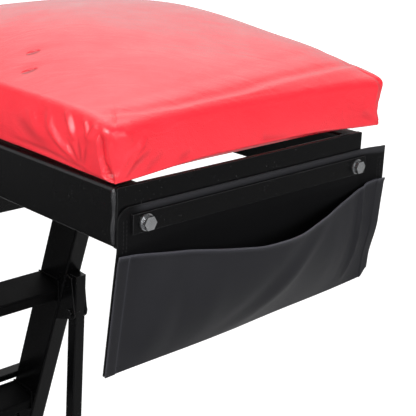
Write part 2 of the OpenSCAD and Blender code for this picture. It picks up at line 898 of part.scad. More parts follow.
pouch_lean = 8;
pouch_back_y = head_y - 0.3;
module pouch() {
    hem_z = pouch_top - pouch_height;
    pocket_z = hem_z + pocket_height;
    bend_z = deck_z0 - 2;
    swing = (bend_z - hem_z) * tan(pouch_lean);
    side_hem = 8;
    color(cloth_black)
        translate([pouch_shift, pouch_back_y, 0])
            difference() {
                union() {
                    plate_x(-pouch_width / 2, pouch_width / 2)
                        polygon([[-sheet_t, pouch_top], [0, pouch_top], [0, bend_z],
                            [swing, hem_z], [swing - sheet_t, hem_z], [-sheet_t, bend_z]]);
                    plate_x(-pouch_width / 2, pouch_width / 2)
                        polygon([[-sheet_t, bend_z - 1], [swing - sheet_t + 0.1, hem_z],
                            [swing - 8, hem_z], [swing - pocket_depth, hem_z + 34],
                            [-pocket_depth - 4, pocket_z], [-sheet_t, pocket_z]]);
                }
                plate_x(-pouch_width / 2 + side_hem, pouch_width / 2 - side_hem)
                    polygon([[-sheet_t, bend_z - 1], [-sheet_t, pocket_z + 5],
                        [-pocket_depth - 4 + sheet_t, pocket_z + 5],
                        [-pocket_depth - 4 + sheet_t, pocket_z],
                        [swing - pocket_depth + sheet_t, hem_z + 34],
                        [swing - 8, hem_z + sheet_t + 1], [swing - sheet_t, hem_z + sheet_t]]);
                for (s = [1, -1])
                    translate([pouch_bolt_x - pouch_shift + s * pouch_bolt_span / 2, -10,
                        pouch_bolt_z])
                        rotate([-90, 0, 0])
                            cylinder(h = 20, d = 8.6, $fn = round_fn);
            }
}

strip_t = 3;
strip_h = 20;
module clamp_strip() {
    strip_y = pouch_back_y - sheet_t - 0.3 - strip_t;
    strip_len = pouch_bolt_span + 32;
    color(steel_black)
        difference() {
            translate([pouch_bolt_x - strip_len / 2, strip_y, pouch_bolt_z - strip_h / 2])
                cube([strip_len, strip_t, strip_h]);
            for (s = [1, -1])
                translate([pouch_bolt_x + s * pouch_bolt_span / 2, strip_y - 1, pouch_bolt_z])
                    rotate([-90, 0, 0])
                        cylinder(h = strip_t + 2, d = 8.6, $fn = round_fn);
        }
}

// Short bolts screwed into the front end plate
module pouch_bolts() {
    strip_y = pouch_back_y - sheet_t - 0.3 - strip_t;
    washer_t = 1.6;
    head_t = 5.3;
    tip_y = head_y + end_plate_t - 0.3;
    color(zinc)
        for (s = [1, -1])
            translate([pouch_bolt_x + s * pouch_bolt_span / 2, 0, pouch_bolt_z])
                rotate([-90, 0, 0]) {
                    translate([0, 0, strip_y - washer_t])
                        cylinder(h = tip_y - strip_y + washer_t, d = pouch_bolt_d,
                            $fn = round_fn);
                    translate([0, 0, strip_y - washer_t])
                        cylinder(h = washer_t, d = 17, $fn = round_fn);
                    translate([0, 0, strip_y - washer_t - head_t])
                        cylinder(h = head_t, d = 13 / cos(30), $fn = 6);
                }
}

// ---- nodes ---------------------------------------------------------------

cross_tube(front_axis_y);  // front_cross_tube
cross_tube(rear_axis_y);  // rear_cross_tube
base_rail(1);  // left_base_rail
base_rail(-1);  // right_base_rail
base_end_caps();
foot_bracket(1);  // left_foot_bracket
foot_bracket(-1);  // right_foot_bracket
foot_bolts();
brace_socket(1);  // left_brace_socket
brace_socket(-1);  // right_brace_socket
caster_plates();
caster_plate_bolts();
caster_fork(true, 1);  // front_left_fork
caster_fork(true, -1);  // front_right_fork
caster_fork(false, 1);  // rear_left_fork
caster_fork(false, -1);  // rear_right_fork
caster_wheel(true, 1);  // front_left_wheel
caster_wheel(true, -1);  // front_right_wheel
caster_wheel(false, 1);  // rear_left_wheel
caster_wheel(false, -1);  // rear_right_wheel
brake_pedal(1);  // left_brake_pedal
brake_pedal(-1);  // right_brake_pedal
brace_pin(1);  // left_brace_pin
brace_pin(-1);  // right_brace_pin
stile(1);  // left_stile
stile(-1);  // right_stile
rung(1);  // rung_1
rung(2);  // rung_2
rung(3);  // rung_3
top_bar();
rear_tie_bar();
brace_bracket(1);  // left_brace_bracket
brace_bracket(-1);  // right_brace_bracket
brace_bolts();
stile_collars();
brace(1);  // left_brace
brace(-1);  // right_brace
height_pin(1);  // left_height_pin
height_pin(-1);  // right_height_pin
post(1);  // left_post
post(-1);  // right_post
post_tie();
deck_rail(1);  // left_deck_rail
deck_rail(-1);  // right_deck_rail
end_member(true);  // head_member
end_member(false);  // rear_member
inner_member(front_inner_y);  // front_inner_member
inner_member(rear_inner_y);  // rear_inner_member
deck_bracket(1);  // left_deck_bracket
deck_bracket(-1);  // right_deck_bracket
deck_bolts();
pad_board();
pad_spacers();
pad_screws();
pad();
pouch();
clamp_strip();
pouch_bolts();
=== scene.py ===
"""Looks of a topside creeper: a padded deck with a tool pouch on a folding, wheeled ladder."""
import json
import math

import bpy
import numpy as np
from mathutils import Matrix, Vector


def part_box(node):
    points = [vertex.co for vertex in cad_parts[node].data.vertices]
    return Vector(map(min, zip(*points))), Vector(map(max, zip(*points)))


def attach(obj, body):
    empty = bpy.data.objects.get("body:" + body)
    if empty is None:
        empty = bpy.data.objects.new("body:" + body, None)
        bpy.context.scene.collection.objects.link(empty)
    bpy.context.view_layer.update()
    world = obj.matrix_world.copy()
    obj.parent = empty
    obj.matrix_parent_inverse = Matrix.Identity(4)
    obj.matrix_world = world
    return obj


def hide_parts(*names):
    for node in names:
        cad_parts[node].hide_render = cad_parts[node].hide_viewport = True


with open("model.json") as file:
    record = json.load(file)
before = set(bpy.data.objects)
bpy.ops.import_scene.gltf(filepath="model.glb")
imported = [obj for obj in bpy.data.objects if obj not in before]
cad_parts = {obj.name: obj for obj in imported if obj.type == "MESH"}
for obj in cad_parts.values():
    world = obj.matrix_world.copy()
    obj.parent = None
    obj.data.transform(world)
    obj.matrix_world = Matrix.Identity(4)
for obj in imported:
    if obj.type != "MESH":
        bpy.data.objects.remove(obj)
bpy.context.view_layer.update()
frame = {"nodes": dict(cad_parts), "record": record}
MM = 0.001


def span(node):
    """Lowest and highest corner of a CAD node as two numpy arrays."""
    lo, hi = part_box(node)
    return np.array(lo), np.array(hi)


# ---------------------------------------------------------------- meshes

def sheet_faces(nu, nv, closed=False):
    """Quads of a grid of nu rows of nv points, counted row by row; the rows may be closed rings."""
    row, column = np.meshgrid(np.arange(nu - 1), np.arange(nv if closed else nv - 1), indexing="ij")
    next_row, next_column = row + 1, (column + 1) % nv
    corners = [row * nv + column, next_row * nv + column,
               next_row * nv + next_column, row * nv + next_column]
    return np.stack(corners, -1).reshape(-1, 4)


def new_object(name, data):
    """An object of the scene with the given mesh, lamp or camera."""
    thing = bpy.data.objects.new(name, data)
    bpy.context.scene.collection.objects.link(thing)
    return thing


def add_piece(name, points, faces, material, body, uv=None):
    """A smooth-shaded mesh object from an array of points and lists of point numbers; uv holds
    one pair per point. It rides on a body."""
    mesh = bpy.data.meshes.new(name)
    mesh.from_pydata(points.tolist(), [], faces)
    if uv is not None:
        layer = mesh.uv_layers.new(name="UVMap")
        loops = np.empty(len(mesh.loops), int)
        mesh.loops.foreach_get("vertex_index", loops)
        layer.data.foreach_set("uv", np.asarray(uv, np.float32)[loops].ravel())
    mesh.polygons.foreach_set("use_smooth", np.ones(len(mesh.polygons), bool))
    mesh.update()
    piece = new_object(name, mesh)
    mesh.materials.append(material)
    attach(piece, body)
    return piece


def set_values(piece, name, values):
    """One number for each point of a piece, as an attribute that its material reads."""
    layer = piece.data.attributes.new(name, "FLOAT", "POINT")
    layer.data.foreach_set("value", values.astype(np.float32))


def smoothstep(x):
    """0 below 0, 1 above 1, and three x squared less two x cubed between them."""
    x = np.clip(x, 0, 1)
    return x * x * (3 - 2 * x)


# ---------------------------------------------------------------- shader groups

def new_group(name, inputs, outputs):
    """A shader node group with float inputs {name: value} and outputs {name: type}."""
    tree = bpy.data.node_groups.new(name, "ShaderNodeTree")
    for key, value in inputs.items():
        socket = tree.interface.new_socket(key, in_out="INPUT", socket_type="NodeSocketFloat")
        socket.default_value = value
    for key, kind in outputs.items():
        tree.interface.new_socket(key, in_out="OUTPUT", socket_type=kind)
    return tree, tree.nodes.new("NodeGroupInput"), tree.nodes.new("NodeGroupOutput")


class Nodes:
    """Short calls to add and wire nodes in one tree."""

    def __init__(self, tree):
        self.tree = tree

    def feed(self, socket, value):
        """Link a socket to an input, or write a constant on it."""
        if isinstance(value, bpy.types.NodeSocket):
            self.tree.links.new(value, socket)
        else:
            socket.default_value = value

    def add(self, kind, **settings):
        """A new node. A setting named in_2 or in_Scale feeds that input; any other is a property
        of the node."""
        node = self.tree.nodes.new("ShaderNode" + kind)
        for key, value in settings.items():
            if key.startswith("in_"):
                place = key[3:].replace("_", " ")
                self.feed(node.inputs[int(place) if place.isdigit() else place], value)
            else:
                setattr(node, key, value)
        return node

    def math(self, operation, a, b=0.0, c=0.0):
        """The result of one Math operation on sockets and constants."""
        node = self.add("Math", operation=operation)
        for socket, value in zip(node.inputs, (a, b, c)):
            self.feed(socket, value)
        return node.outputs[0]

    def ramp(self, value, stops):
        """A value through a ramp of stops, each a place and a colour or grey level."""
        node = self.add("ValToRGB", in_Fac=value)
        elements = node.color_ramp.elements
        while len(elements) < len(stops):
            elements.new(0.5)
        for element, (place, colour) in zip(elements, stops):
            element.position = place
            element.color = (*colour, 1) if hasattr(colour, "__len__") else (colour,) * 3 + (1,)
        return node.outputs[0]

    def link(self, a, b):
        self.tree.links.new(a, b)


def make_grain_group():
    """Pebbled leather grain: soft cells, broken up by noise, as a height from 0 to 1."""
    tree, given, result = new_group(
        "leather_grain", {"Scale": 900.0, "Fine": 2600.0}, {"Height": "NodeSocketFloat"})
    n = Nodes(tree)
    place = n.add("TexCoord").outputs["Object"]
    warp = n.add("TexNoise", in_Vector=place, in_Scale=240.0, in_Detail=2.0)
    bent = n.add("VectorMath", operation="MULTIPLY_ADD", in_0=warp.outputs["Color"],
                 in_1=(0.0012, 0.0012, 0.0012), in_2=place)
    cells = n.add("TexVoronoi", feature="SMOOTH_F1", in_Vector=bent.outputs[0],
                  in_Scale=given.outputs["Scale"], in_Smoothness=0.6)
    fine = n.add("TexNoise", in_Vector=place, in_Scale=given.outputs["Fine"], in_Detail=2.0)
    mixed = n.math("MULTIPLY_ADD", fine.outputs[0], 0.35, cells.outputs["Distance"])
    n.link(mixed, result.inputs["Height"])
    return tree


def make_weave_group():
    """Plain weave from UV in metres: warp and weft ribs that take turns on top."""
    tree, given, result = new_group(
        "plain_weave", {"Threads per metre": 1800.0},
        {"Height": "NodeSocketFloat", "Shade": "NodeSocketFloat"})
    n = Nodes(tree)
    uv = n.add("UVMap").outputs[0]
    both = n.add("SeparateXYZ", in_0=n.add("VectorMath", operation="SCALE", in_0=uv,
                                         in_Scale=given.outputs[0]).outputs[0])
    across = n.math("SINE", n.math("MULTIPLY", both.outputs[0], math.pi))
    along = n.math("SINE", n.math("MULTIPLY", both.outputs[1], math.pi))
    warp = n.math("ABSOLUTE", across)
    weft = n.math("ABSOLUTE", along)
    turn = n.math("MULTIPLY", across, along)
    high = n.math("MAXIMUM", n.math("MULTIPLY_ADD", turn, 0.35, warp),
                  n.math("MULTIPLY_ADD", turn, -0.35, weft))
    n.link(high, result.inputs["Height"])
    # Shade is painted shade: the cloth is darker where the threads lie low
    n.link(n.math("MULTIPLY_ADD", high, 0.25, 0.8), result.inputs["Shade"])
    return tree


def make_wear_group():
    """Marks of handling: slow blotches about 0, and specks and orange peel from 0 to 1."""
    tree, given, result = new_group(
        "handling_marks", {"Blotch size": 14.0, "Speck size": 420.0},
        {"Blotch": "NodeSocketFloat", "Speck": "NodeSocketFloat", "Orange peel": "NodeSocketFloat"})
    n = Nodes(tree)
    place = n.add("TexCoord").outputs["Object"]
    slow = n.add("TexNoise", in_Vector=place, in_Scale=given.outputs[0], in_Detail=5.0)
    n.link(n.math("SUBTRACT", slow.outputs[0], 0.5), result.inputs["Blotch"])
    specks = n.add("TexNoise", in_Vector=place, in_Scale=given.outputs[1], in_Detail=2.0)
    n.link(n.ramp(specks.outputs[0], [(0.68, 0.0), (0.78, 1.0)]), result.inputs["Speck"])
    peel = n.add("TexNoise", in_Vector=place, in_Scale=650.0, in_Detail=3.0)
    n.link(peel.outputs[0], result.inputs["Orange peel"])
    return tree


def make_edge_group():
    """Mask of the edges, where the coat is painted paler: partly rubbed coat, partly a painted
    highlight on the rounded edges. The normal is that of edges rounded to the radius. It leaves
    the face's own normal only at an edge, so their dot product gives the mask, from 0 on the
    faces to the worn and highlit share on the edges."""
    tree, given, result = new_group(
        "edge_wear_and_highlight", {"Radius": 0.0018, "Worn and highlit share": 0.8},
        {"Mask": "NodeSocketFloat", "Normal": "NodeSocketVector"})
    n = Nodes(tree)
    edge = n.add("Bevel", samples=4, in_Radius=given.outputs[0]).outputs[0]
    face = n.add("NewGeometry").outputs["Normal"]
    turn = n.add("VectorMath", operation="DOT_PRODUCT", in_0=edge, in_1=face).outputs["Value"]
    mask = n.ramp(turn, [(0.72, 1.0), (0.97, 0.0)])
    n.link(n.math("MULTIPLY", mask, given.outputs[1]), result.inputs["Mask"])
    n.link(edge, result.inputs["Normal"])
    return tree


GRAIN = make_grain_group()
WEAVE = make_weave_group()
WEAR = make_wear_group()
EDGE = make_edge_group()


def new_material(name, **sockets):
    """A material with constants on its shader's sockets, ready for more nodes."""
    material = bpy.data.materials.new(name)
    material.use_nodes = True
    shader = material.node_tree.nodes["Principled BSDF"]
    for key, value in sockets.items():
        shader.inputs[key.replace("_", " ")].default_value = value
    return material, Nodes(material.node_tree), shader


def place_group(n, group, **values):
    """A shared group placed in one material, with that material's own values."""
    node = n.add("Group", node_tree=group)
    for key, value in values.items():
        node.inputs[key.replace("_", " ")].default_value = value
    return node


def bump_into(n, shader, height, strength, distance, normal=None):
    """A bump of the given height over a normal, fed into the shader's Normal."""
    node = n.add("Bump", in_Strength=strength, in_Distance=distance, in_Height=height)
    if normal is not None:
        n.link(normal, node.inputs["Normal"])
    n.link(node.outputs[0], shader.inputs["Normal"])
    return node.outputs[0]


def vary_roughness(n, shader, marks, swing, middle):
    """Roughness about a middle value, moved by the slow blotches."""
    n.link(n.math("MULTIPLY_ADD", marks.outputs["Blotch"], swing, middle),
           shader.inputs["Roughness"])


def vary_tone(n, marks, stops):
    """A colour that changes with the slow blotches, along the stops of a ramp."""
    return n.ramp(n.math("ADD", marks.outputs["Blotch"], 0.5), stops)


POWDER_BLACK = (0.0022, 0.0022, 0.0024)
# Paler colour of the coat on edges and lips: partly rubbed coat, partly painted highlight
WORN_AND_HIGHLIT_BLACK = (0.045, 0.045, 0.047)


def painted_lip_highlight(n, lip):
    """Mask of a painted highlight along a rounded lip: a band 5 mm high that starts 1 mm below
    the given height and fades towards both of its rims."""
    height = n.add("SeparateXYZ", in_0=n.add("TexCoord").outputs["Object"]).outputs[2]
    band = n.add("MapRange", in_0=height, in_1=lip - 0.001, in_2=lip + 0.004, in_3=0.0,
                 in_4=1.0).outputs[0]
    return n.ramp(band, [(0.1, 0.0), (0.4, 0.75), (0.65, 0.6), (0.85, 0.0)])


def paint(name, colour, roughness, peel, speck=0.05, specular=0.5, lip=None):
    """Powder coat or moulded plastic: near-black with orange peel, dust specks, slow blotches
    and paler edges, partly rubbed coat and partly painted highlight. Where lip is given, a
    painted highlight lies on a band at that height too."""
    material, n, shader = new_material(name, Specular_IOR_Level=specular)
    marks = place_group(n, WEAR)
    edge = place_group(n, EDGE)
    dusty = [c * 3 + speck for c in colour]
    dust = n.math("MULTIPLY", marks.outputs["Speck"], 0.6)
    base = n.add("Mix", data_type="RGBA", blend_type="MIX", in_Factor=dust, in_A=(*colour, 1),
                 in_B=(*dusty, 1))
    # edges painted paler, partly rubbed coat and partly painted highlight; the lip band is painted
    # highlight
    wear_and_painted_highlight = edge.outputs["Mask"]
    if lip is not None:
        wear_and_painted_highlight = n.math("MAXIMUM", wear_and_painted_highlight, painted_lip_highlight(n, lip))
    worn = n.add("Mix", data_type="RGBA", blend_type="MIX", in_Factor=wear_and_painted_highlight,
                 in_A=base.outputs["Result"], in_B=(*WORN_AND_HIGHLIT_BLACK, 1))
    n.link(worn.outputs["Result"], shader.inputs["Base Color"])
    vary_roughness(n, shader, marks, 0.3, roughness)
    bump_into(n, shader, marks.outputs["Orange peel"], peel, 0.0004, edge.outputs["Normal"])
    return material


def plated(name, colour, roughness):
    """Zinc plate on steel: bright, faintly blue, with slow blotches and a faint unevenness."""
    material, n, shader = new_material(name, Metallic=0.97)
    marks = place_group(n, WEAR, Blotch_size=60.0)
    tint = vary_tone(n, marks, [(0.3, tuple(c * 0.8 for c in colour)), (0.7, colour)])
    n.link(tint, shader.inputs["Base Color"])
    vary_roughness(n, shader, marks, 0.5, roughness)
    bump_into(n, shader, marks.outputs["Orange peel"], 0.15, 0.0002)
    return material


def vinyl(name, colour, shade, dents):
    """Grained vinyl stretched on foam: pebbles, faint puckers that run one way, slow colour
    change, painted shade in the folds, read from a mesh attribute, and small pressed dents,
    bumped in and darkened by painted shade, each given by its centre, turn, half length and
    half width."""
    material, n, shader = new_material(name, Specular_IOR_Level=0.45, Coat_Weight=0.8,
                                       Coat_Roughness=0.17)
    grain = place_group(n, GRAIN)
    marks = place_group(n, WEAR, Blotch_size=26.0)
    place = n.add("TexCoord").outputs["Object"]
    tone = vary_tone(n, marks, [(0.1, shade), (0.9, colour)])
    # painted shade in the folds, from a mesh attribute
    folds = n.add("Attribute", attribute_name="painted_fold_shade").outputs["Fac"]
    near = None
    for centre, turn, long, wide in dents:
        local = n.add("Mapping", vector_type="TEXTURE", in_Vector=place, in_Location=centre,
                      in_Rotation=(0, 0, turn), in_Scale=(long, wide, 0.03))
        far = n.add("VectorMath", operation="LENGTH", in_0=local.outputs[0]).outputs["Value"]
        near = far if near is None else n.math("MINIMUM", near, far)
    press = n.ramp(near, [(0.0, 0.0), (0.55, 0.35), (1.0, 1.0)])
    # painted shade: the colour darkens in the folds and towards the middle of each dent
    painted_shade = n.math("MULTIPLY", n.math("SUBTRACT", 1.0, folds),
                  n.math("MULTIPLY_ADD", press, 0.25, 0.75))
    base = n.add("Mix", data_type="RGBA", blend_type="MULTIPLY", in_Factor=1.0, in_A=tone,
                 in_B=painted_shade)
    n.link(base.outputs["Result"], shader.inputs["Base Color"])
    vary_roughness(n, shader, marks, 0.35, 0.44)
    # puckers drawn long across the pad, then the dents, then the pebbles over both
    turned = n.add("VectorRotate", rotation_type="Z_AXIS", in_Vector=place, in_Angle=0.77)
    drawn = n.add("Mapping", in_Vector=turned.outputs[0], in_Scale=(14.0, 46.0, 40.0))
    lines = n.add("TexNoise", in_Vector=drawn.outputs[0], in_Scale=1.0, in_Detail=5.0,
                  in_Distortion=0.8)
    first = n.add("Bump", in_Strength=0.3, in_Distance=0.004, in_Height=lines.outputs[0])
    second = n.add("Bump", in_Strength=1.0, in_Distance=0.0028, in_Height=press,
                   in_Normal=first.outputs[0])
    skin = bump_into(n, shader, grain.outputs[0], 0.45, 0.0006, second.outputs[0])
    n.link(skin, shader.inputs["Coat Normal"])
    return material


def coated_cloth(name, colour, threads=1700.0, roughness=0.55, specular=0.3):
    """Coated canvas with a plain weave that still reads through the coating, and paler where a
    mesh attribute holds a painted highlight along the pouch's edges."""
    material, n, shader = new_material(name, Specular_IOR_Level=specular, Sheen_Weight=0.03,
                                       Sheen_Roughness=0.5)
    weave = place_group(n, WEAVE, Threads_per_metre=threads)
    marks = place_group(n, WEAR, Blotch_size=10.0)
    # painted highlight along the pouch's top, mouth and seam, from a mesh attribute
    wear_and_painted_highlight = n.add("Attribute", attribute_name="painted_edge_highlight").outputs["Fac"]
    tone = n.math("MULTIPLY", n.math("MULTIPLY", weave.outputs["Shade"],
                                     n.math("MULTIPLY_ADD", marks.outputs["Blotch"], 0.5, 1.0)),
                  n.math("MULTIPLY_ADD", wear_and_painted_highlight, 5.0, 1.0))
    base = n.add("Mix", data_type="RGBA", blend_type="MULTIPLY", in_Factor=1.0,
                 in_A=(*colour, 1), in_B=tone)
    n.link(base.outputs["Result"], shader.inputs["Base Color"])
    vary_roughness(n, shader, marks, 0.3, roughness)
    bump_into(n, shader, weave.outputs["Height"], 0.3, 0.0003)
    return material


def plywood(name):
    """Pale plywood: long grain along Y with darker growth bands."""
    material, n, shader = new_material(name, Roughness=0.7)
    place = n.add("TexCoord").outputs["Object"]
    drawn = n.add("Mapping", in_Vector=place, in_Scale=(60.0, 5.0, 400.0))
    grain = n.add("TexNoise", in_Vector=drawn.outputs[0], in_Scale=1.0, in_Detail=6.0,
                  in_Distortion=1.2)
    n.link(n.ramp(grain.outputs[0], [(0.3, (0.36, 0.22, 0.11)), (0.6, (0.56, 0.38, 0.2)),
                                     (0.8, (0.66, 0.48, 0.28))]), shader.inputs["Base Color"])
    bump_into(n, shader, grain.outputs[0], 0.2, 0.0005)
    return material


def tyre_rubber(name, colour):
    """Dull rubber in slow blotches of two tones."""
    material, n, shader = new_material(name, Specular_IOR_Level=0.35)
    marks = place_group(n, WEAR, Blotch_size=40.0)
    tone = vary_tone(n, marks, [(0.3, colour), (0.7, tuple(c * 1.7 for c in colour))])
    n.link(tone, shader.inputs["Base Color"])
    vary_roughness(n, shader, marks, 0.4, 0.6)
    bump_into(n, shader, marks.outputs["Orange peel"], 0.2, 0.0004)
    return material


BLACK_STEEL = paint("black_powder_coat", POWDER_BLACK, 0.25, peel=0.25, specular=0.2)
ZINC = plated("zinc_plate", (0.78, 0.79, 0.81), 0.17)
# The weld beads' coat is lighter and flecked with pale specks: partly chipped paint, partly painted
# glints
WELD_BLACK = paint("weld_bead_paint", (0.022, 0.022, 0.024), 0.25, peel=0.8, speck=0.3,
                   specular=0.7)
TREAD_BLACK = paint("tread_powder_coat", POWDER_BLACK, 0.5, peel=0.5, specular=0.06)
# A painted highlight lies on the rails' coat just below their top edge
RAIL_BLACK = paint("rail_powder_coat", POWDER_BLACK, 0.25, peel=0.25, specular=0.2,
                   lip=span("right_deck_rail")[1][2] - 0.0045)
BLACK_PLASTIC = paint("black_plastic", (0.004, 0.004, 0.004), 0.5, peel=0.3, specular=0.35)
# Two small dents that tools have pressed into the pad's top, darkened by painted shade:
# centre, turn, half length and width
PAD_DENTS = [((-0.1364, -0.0160, 1.3012), -0.70, 0.0080, 0.0042),
             ((-0.1597, -0.0421, 1.2893), -0.70, 0.0090, 0.0040)]
RED_VINYL = vinyl("red_vinyl", (0.86, 0.019, 0.036), (0.74, 0.013, 0.027), PAD_DENTS)
POUCH_CLOTH = coated_cloth("pouch_cloth", (0.0030, 0.0030, 0.0034), specular=0.12)
POUCH_FRONT = coated_cloth("pouch_front", (0.011, 0.011, 0.0135), roughness=0.5)
PLYWOOD = plywood("plywood")
RUBBER = tyre_rubber("wheel_rubber", (0.018, 0.018, 0.019))
THREAD = coated_cloth("sewing_thread", (0.010, 0.010, 0.011), 6000.0, 0.6)

SLOT_MATERIAL = {
    "black_steel": BLACK_STEEL, "zinc": ZINC, "black_plastic": BLACK_PLASTIC,
    "red_vinyl": RED_VINYL, "black_cloth": POUCH_CLOTH, "plywood": PLYWOOD,
    "wheel_rubber": RUBBER,
}
RUNGS = ("rung_1", "rung_2", "rung_3")
DECK_RAILS = ("left_deck_rail", "right_deck_rail")


def finish_node(name, material):
    """Give a CAD node its finish."""
    for holder in frame["nodes"][name].material_slots:
        holder.material = material


for row in frame["record"]["subparts"]:
    finish_node(row["node"], SLOT_MATERIAL[row["material_slot"]])
for rung in RUNGS:
    finish_node(rung, TREAD_BLACK)
for rail in DECK_RAILS:
    finish_node(rail, RAIL_BLACK)

# ---------------------------------------------------------------- pad

PAD_LO, PAD_HI = span("pad")
# Outer face of the deck's head plate, and the top of its frame
HEAD_Y = span("head_member")[0][1]
FRAME_Z = span("head_member")[1][2]
# How far the cover reaches to the right and to the left of the deck's middle
SIDE_REACH = (0.187, 0.2015)
# Half width, half length, middle and underside of the cover
PAD_A = sum(SIDE_REACH) / 2
PAD_B = (PAD_HI[1] - PAD_LO[1]) / 2
PAD_X = (SIDE_REACH[1] - SIDE_REACH[0]) / 2
PAD_Y = (PAD_HI[1] + PAD_LO[1]) / 2
PAD_Z = PAD_LO[2]
# Height of the top's rim, and the rise from there to the middle
EDGE_Z = FRAME_Z + 0.0642
CROWN = 0.0485
# How far the board's edge lies inside the cover
BOARD_IN = 0.012
# The cover's folds have their heights over this level
FOLD_LEVEL = 1.0


def outline(count, a, b):
    """Ways round a rectangle of half sizes a and b: a quarter of the points on each side, set
    by a square law so that they crowd at the corners. Returns each point's side, counted from
    the head end towards the left, and how far it lies from its side's start."""
    n = count // 4
    u = np.abs(2 * (np.arange(n) + 0.5) / n - 1)
    half = 0.5 - 0.5 * (1 - (1 - u) ** 2) * np.where(np.arange(n) < n / 2, 1, -1)
    lengths = [2 * a, 2 * b, 2 * a, 2 * b]
    way = np.concatenate([half * length for length in lengths])
    return np.repeat(np.arange(4), n), way


def rounded(side, way, a, b, radius):
    """Points and outward normals of a rectangle whose corners are arcs of the given radius, one
    radius for each row. The way along a side bends through 45 degrees on each side's share."""
    starts = np.array([(-a, -b), (a, -b), (a, b), (-a, b)])[side]
    d = np.array([(1, 0), (0, 1), (-1, 0), (0, -1)])[side]
    out = np.stack([d[:, 1], -d[:, 0]], -1)
    length = np.where(side % 2 == 0, 2 * a, 2 * b)
    r = np.asarray(radius)[:, None]
    along = np.clip(way, r, length - r)
    angle = (np.clip(way - (length - r), 0, r) - np.clip(r - way, 0, r)) / r * math.pi / 4
    normal = np.cos(angle)[..., None] * out + np.sin(angle)[..., None] * d
    point = starts + along[..., None] * d - r[..., None] * out + r[..., None] * normal
    return point, normal


def dome(x, y):
    """Height of the stuffed top: it climbs by a power of the way in from the two ends, and by a
    higher power from the long sides, of which the left one is the steeper. The rim of the ends
    is a parabola, the ladder's end stands a little higher, the head's rim rolls down by an
    exponential and its left shoulder is a bell."""
    across = x / PAD_A
    from_side = np.clip(1 - np.abs(across), 0, 1)
    from_end = np.clip(1 - np.abs(y) / PAD_B, 0, 1)
    power = 2.6 + 3.4 * smoothstep(across + 0.5)
    rim = 0.0045 * (1 - across ** 2) - 0.0005 * across
    filled = 1 - (1 - from_side) ** power
    climb = CROWN * (1 - (1 - from_end) ** 1.8) + 0.0048 * (1 + y / PAD_B) / 2
    roll = 0.0085 * np.exp(-np.clip(y + PAD_B, 0, 1) / 0.015)
    shoulder = 0.0058 * np.exp(-((x - 0.150) / 0.070) ** 2 - ((y + 0.205) / 0.055) ** 2)
    return EDGE_Z + rim + climb * filled + shoulder - roll


def ridge(s, z, path, width, height):
    """A soft fold: a bell across a bent line through points in millimetres, fading at its two
    ends. A point is its place along the wall and its height over the folds' level."""
    best = np.zeros(np.shape(s))
    pts = np.array(path, float) * MM
    pts[:, 1] += FOLD_LEVEL
    width = width * MM
    seg = np.linalg.norm(np.diff(pts, axis=0), axis=1)
    start = 0.0
    for p, q, length in zip(pts[:-1], pts[1:], seg):
        d = (q - p) / length
        u = np.clip((s - p[0]) * d[0] + (z - p[1]) * d[1], 0, length)
        away = np.hypot(s - p[0] - u * d[0], z - p[1] - u * d[1])
        fade = np.sin(np.clip((start + u) / seg.sum(), 0.02, 0.98) * math.pi) ** 0.7
        best = np.maximum(best, np.exp(-(away / width) ** 2) * fade)
        start += length
    return best * height * MM


# Folds of one long side near its corner: path of (mm from the corner, mm up), width, height
LONG_FOLDS = [
    ([(70, 272), (62, 263), (53, 246)], 4.0, 3.8),
    ([(98, 268), (90, 251), (74, 237), (58, 228)], 5.0, 3.0),
    ([(40, 270), (35, 262), (33, 252)], 2.8, 2.6),
    ([(20, 269), (26, 260), (32, 251)], 3.0, 2.8),
    ([(50, 250), (48, 238), (47, 225)], 2.6, -1.6),
    ([(66, 246), (57, 234), (50, 224)], 2.8, -1.6),
    ([(88, 240), (70, 230), (52, 222)], 3.2, -1.5),
    ([(36, 246), (40, 234), (44, 224)], 2.4, -1.2),
    ([(160, 227), (100, 226), (50, 221), (18, 217)], 2.4, -1.4),
    ([(150, 250), (120, 238), (96, 230)], 7.0, -1.4),
    ([(130, 266), (118, 252), (104, 240)], 7.0, 1.6),
]
# The same for the end, from the corner along the end
END_FOLDS = [
    ([(10, 268), (14, 260), (17, 250)], 6.0, 1.6),
    ([(10, 234), (22, 243), (38, 255)], 4.6, 3.0),
    ([(14, 219), (27, 232), (44, 243)], 2.6, -1.6),
    ([(12, 228), (20, 240), (28, 250)], 3.0, -1.2),
    ([(34, 220), (52, 232), (60, 240)], 4.0, -0.9),
    ([(78, 226), (96, 234)], 4.0, -0.9),
]
FAR_END_FOLDS = [
    ([(150, 224), (185, 228), (210, 237)], 3.4, -0.8),
    ([(6, 262), (12, 250), (14, 238)], 4.0, 1.0),
    ([(10, 222), (24, 230), (36, 234)], 4.0, -0.8),
]
# The bulge of the left side beside the head corner
LOBE = [([(2, 272), (8, 264), (11, 252), (9, 240)], 8.0, 5.0), ([(24, 268), (25, 240)], 4.0, -2.0)]
# The lip of a corner fold: heights, and its distance from the corner along the long side
LIP_UP = [0.214, 0.222, 0.240, 0.262]
LIP_ALONG = [-0.001, 0.011, 0.0145, 0.015]


def corner_fold(along, z, lip_shift):
    """A bed-corner fold. The sheet of the long side, where along is past the lip, ends in a lip that
    stands proud of the end's sheet. That one wraps round the corner below it and sinks in
    towards the bottom. Both fade away from the lip by an exponential."""
    low = z - FOLD_LEVEL
    past_lip = along - (np.interp(low, LIP_UP, LIP_ALONG) + lip_shift)
    step = smoothstep(past_lip / 0.0011 + 0.5)
    flap = 0.0034 * np.exp(-np.clip(past_lip, 0, 1) / 0.024)
    sunk = 0.0026 + 0.0062 * smoothstep((0.236 - low) / 0.014)
    recess = -sunk * np.exp(-np.clip(-past_lip, 0, 1) / 0.009)
    return (step * flap + (1 - step) * recess) * smoothstep((0.263 - low) / 0.010)


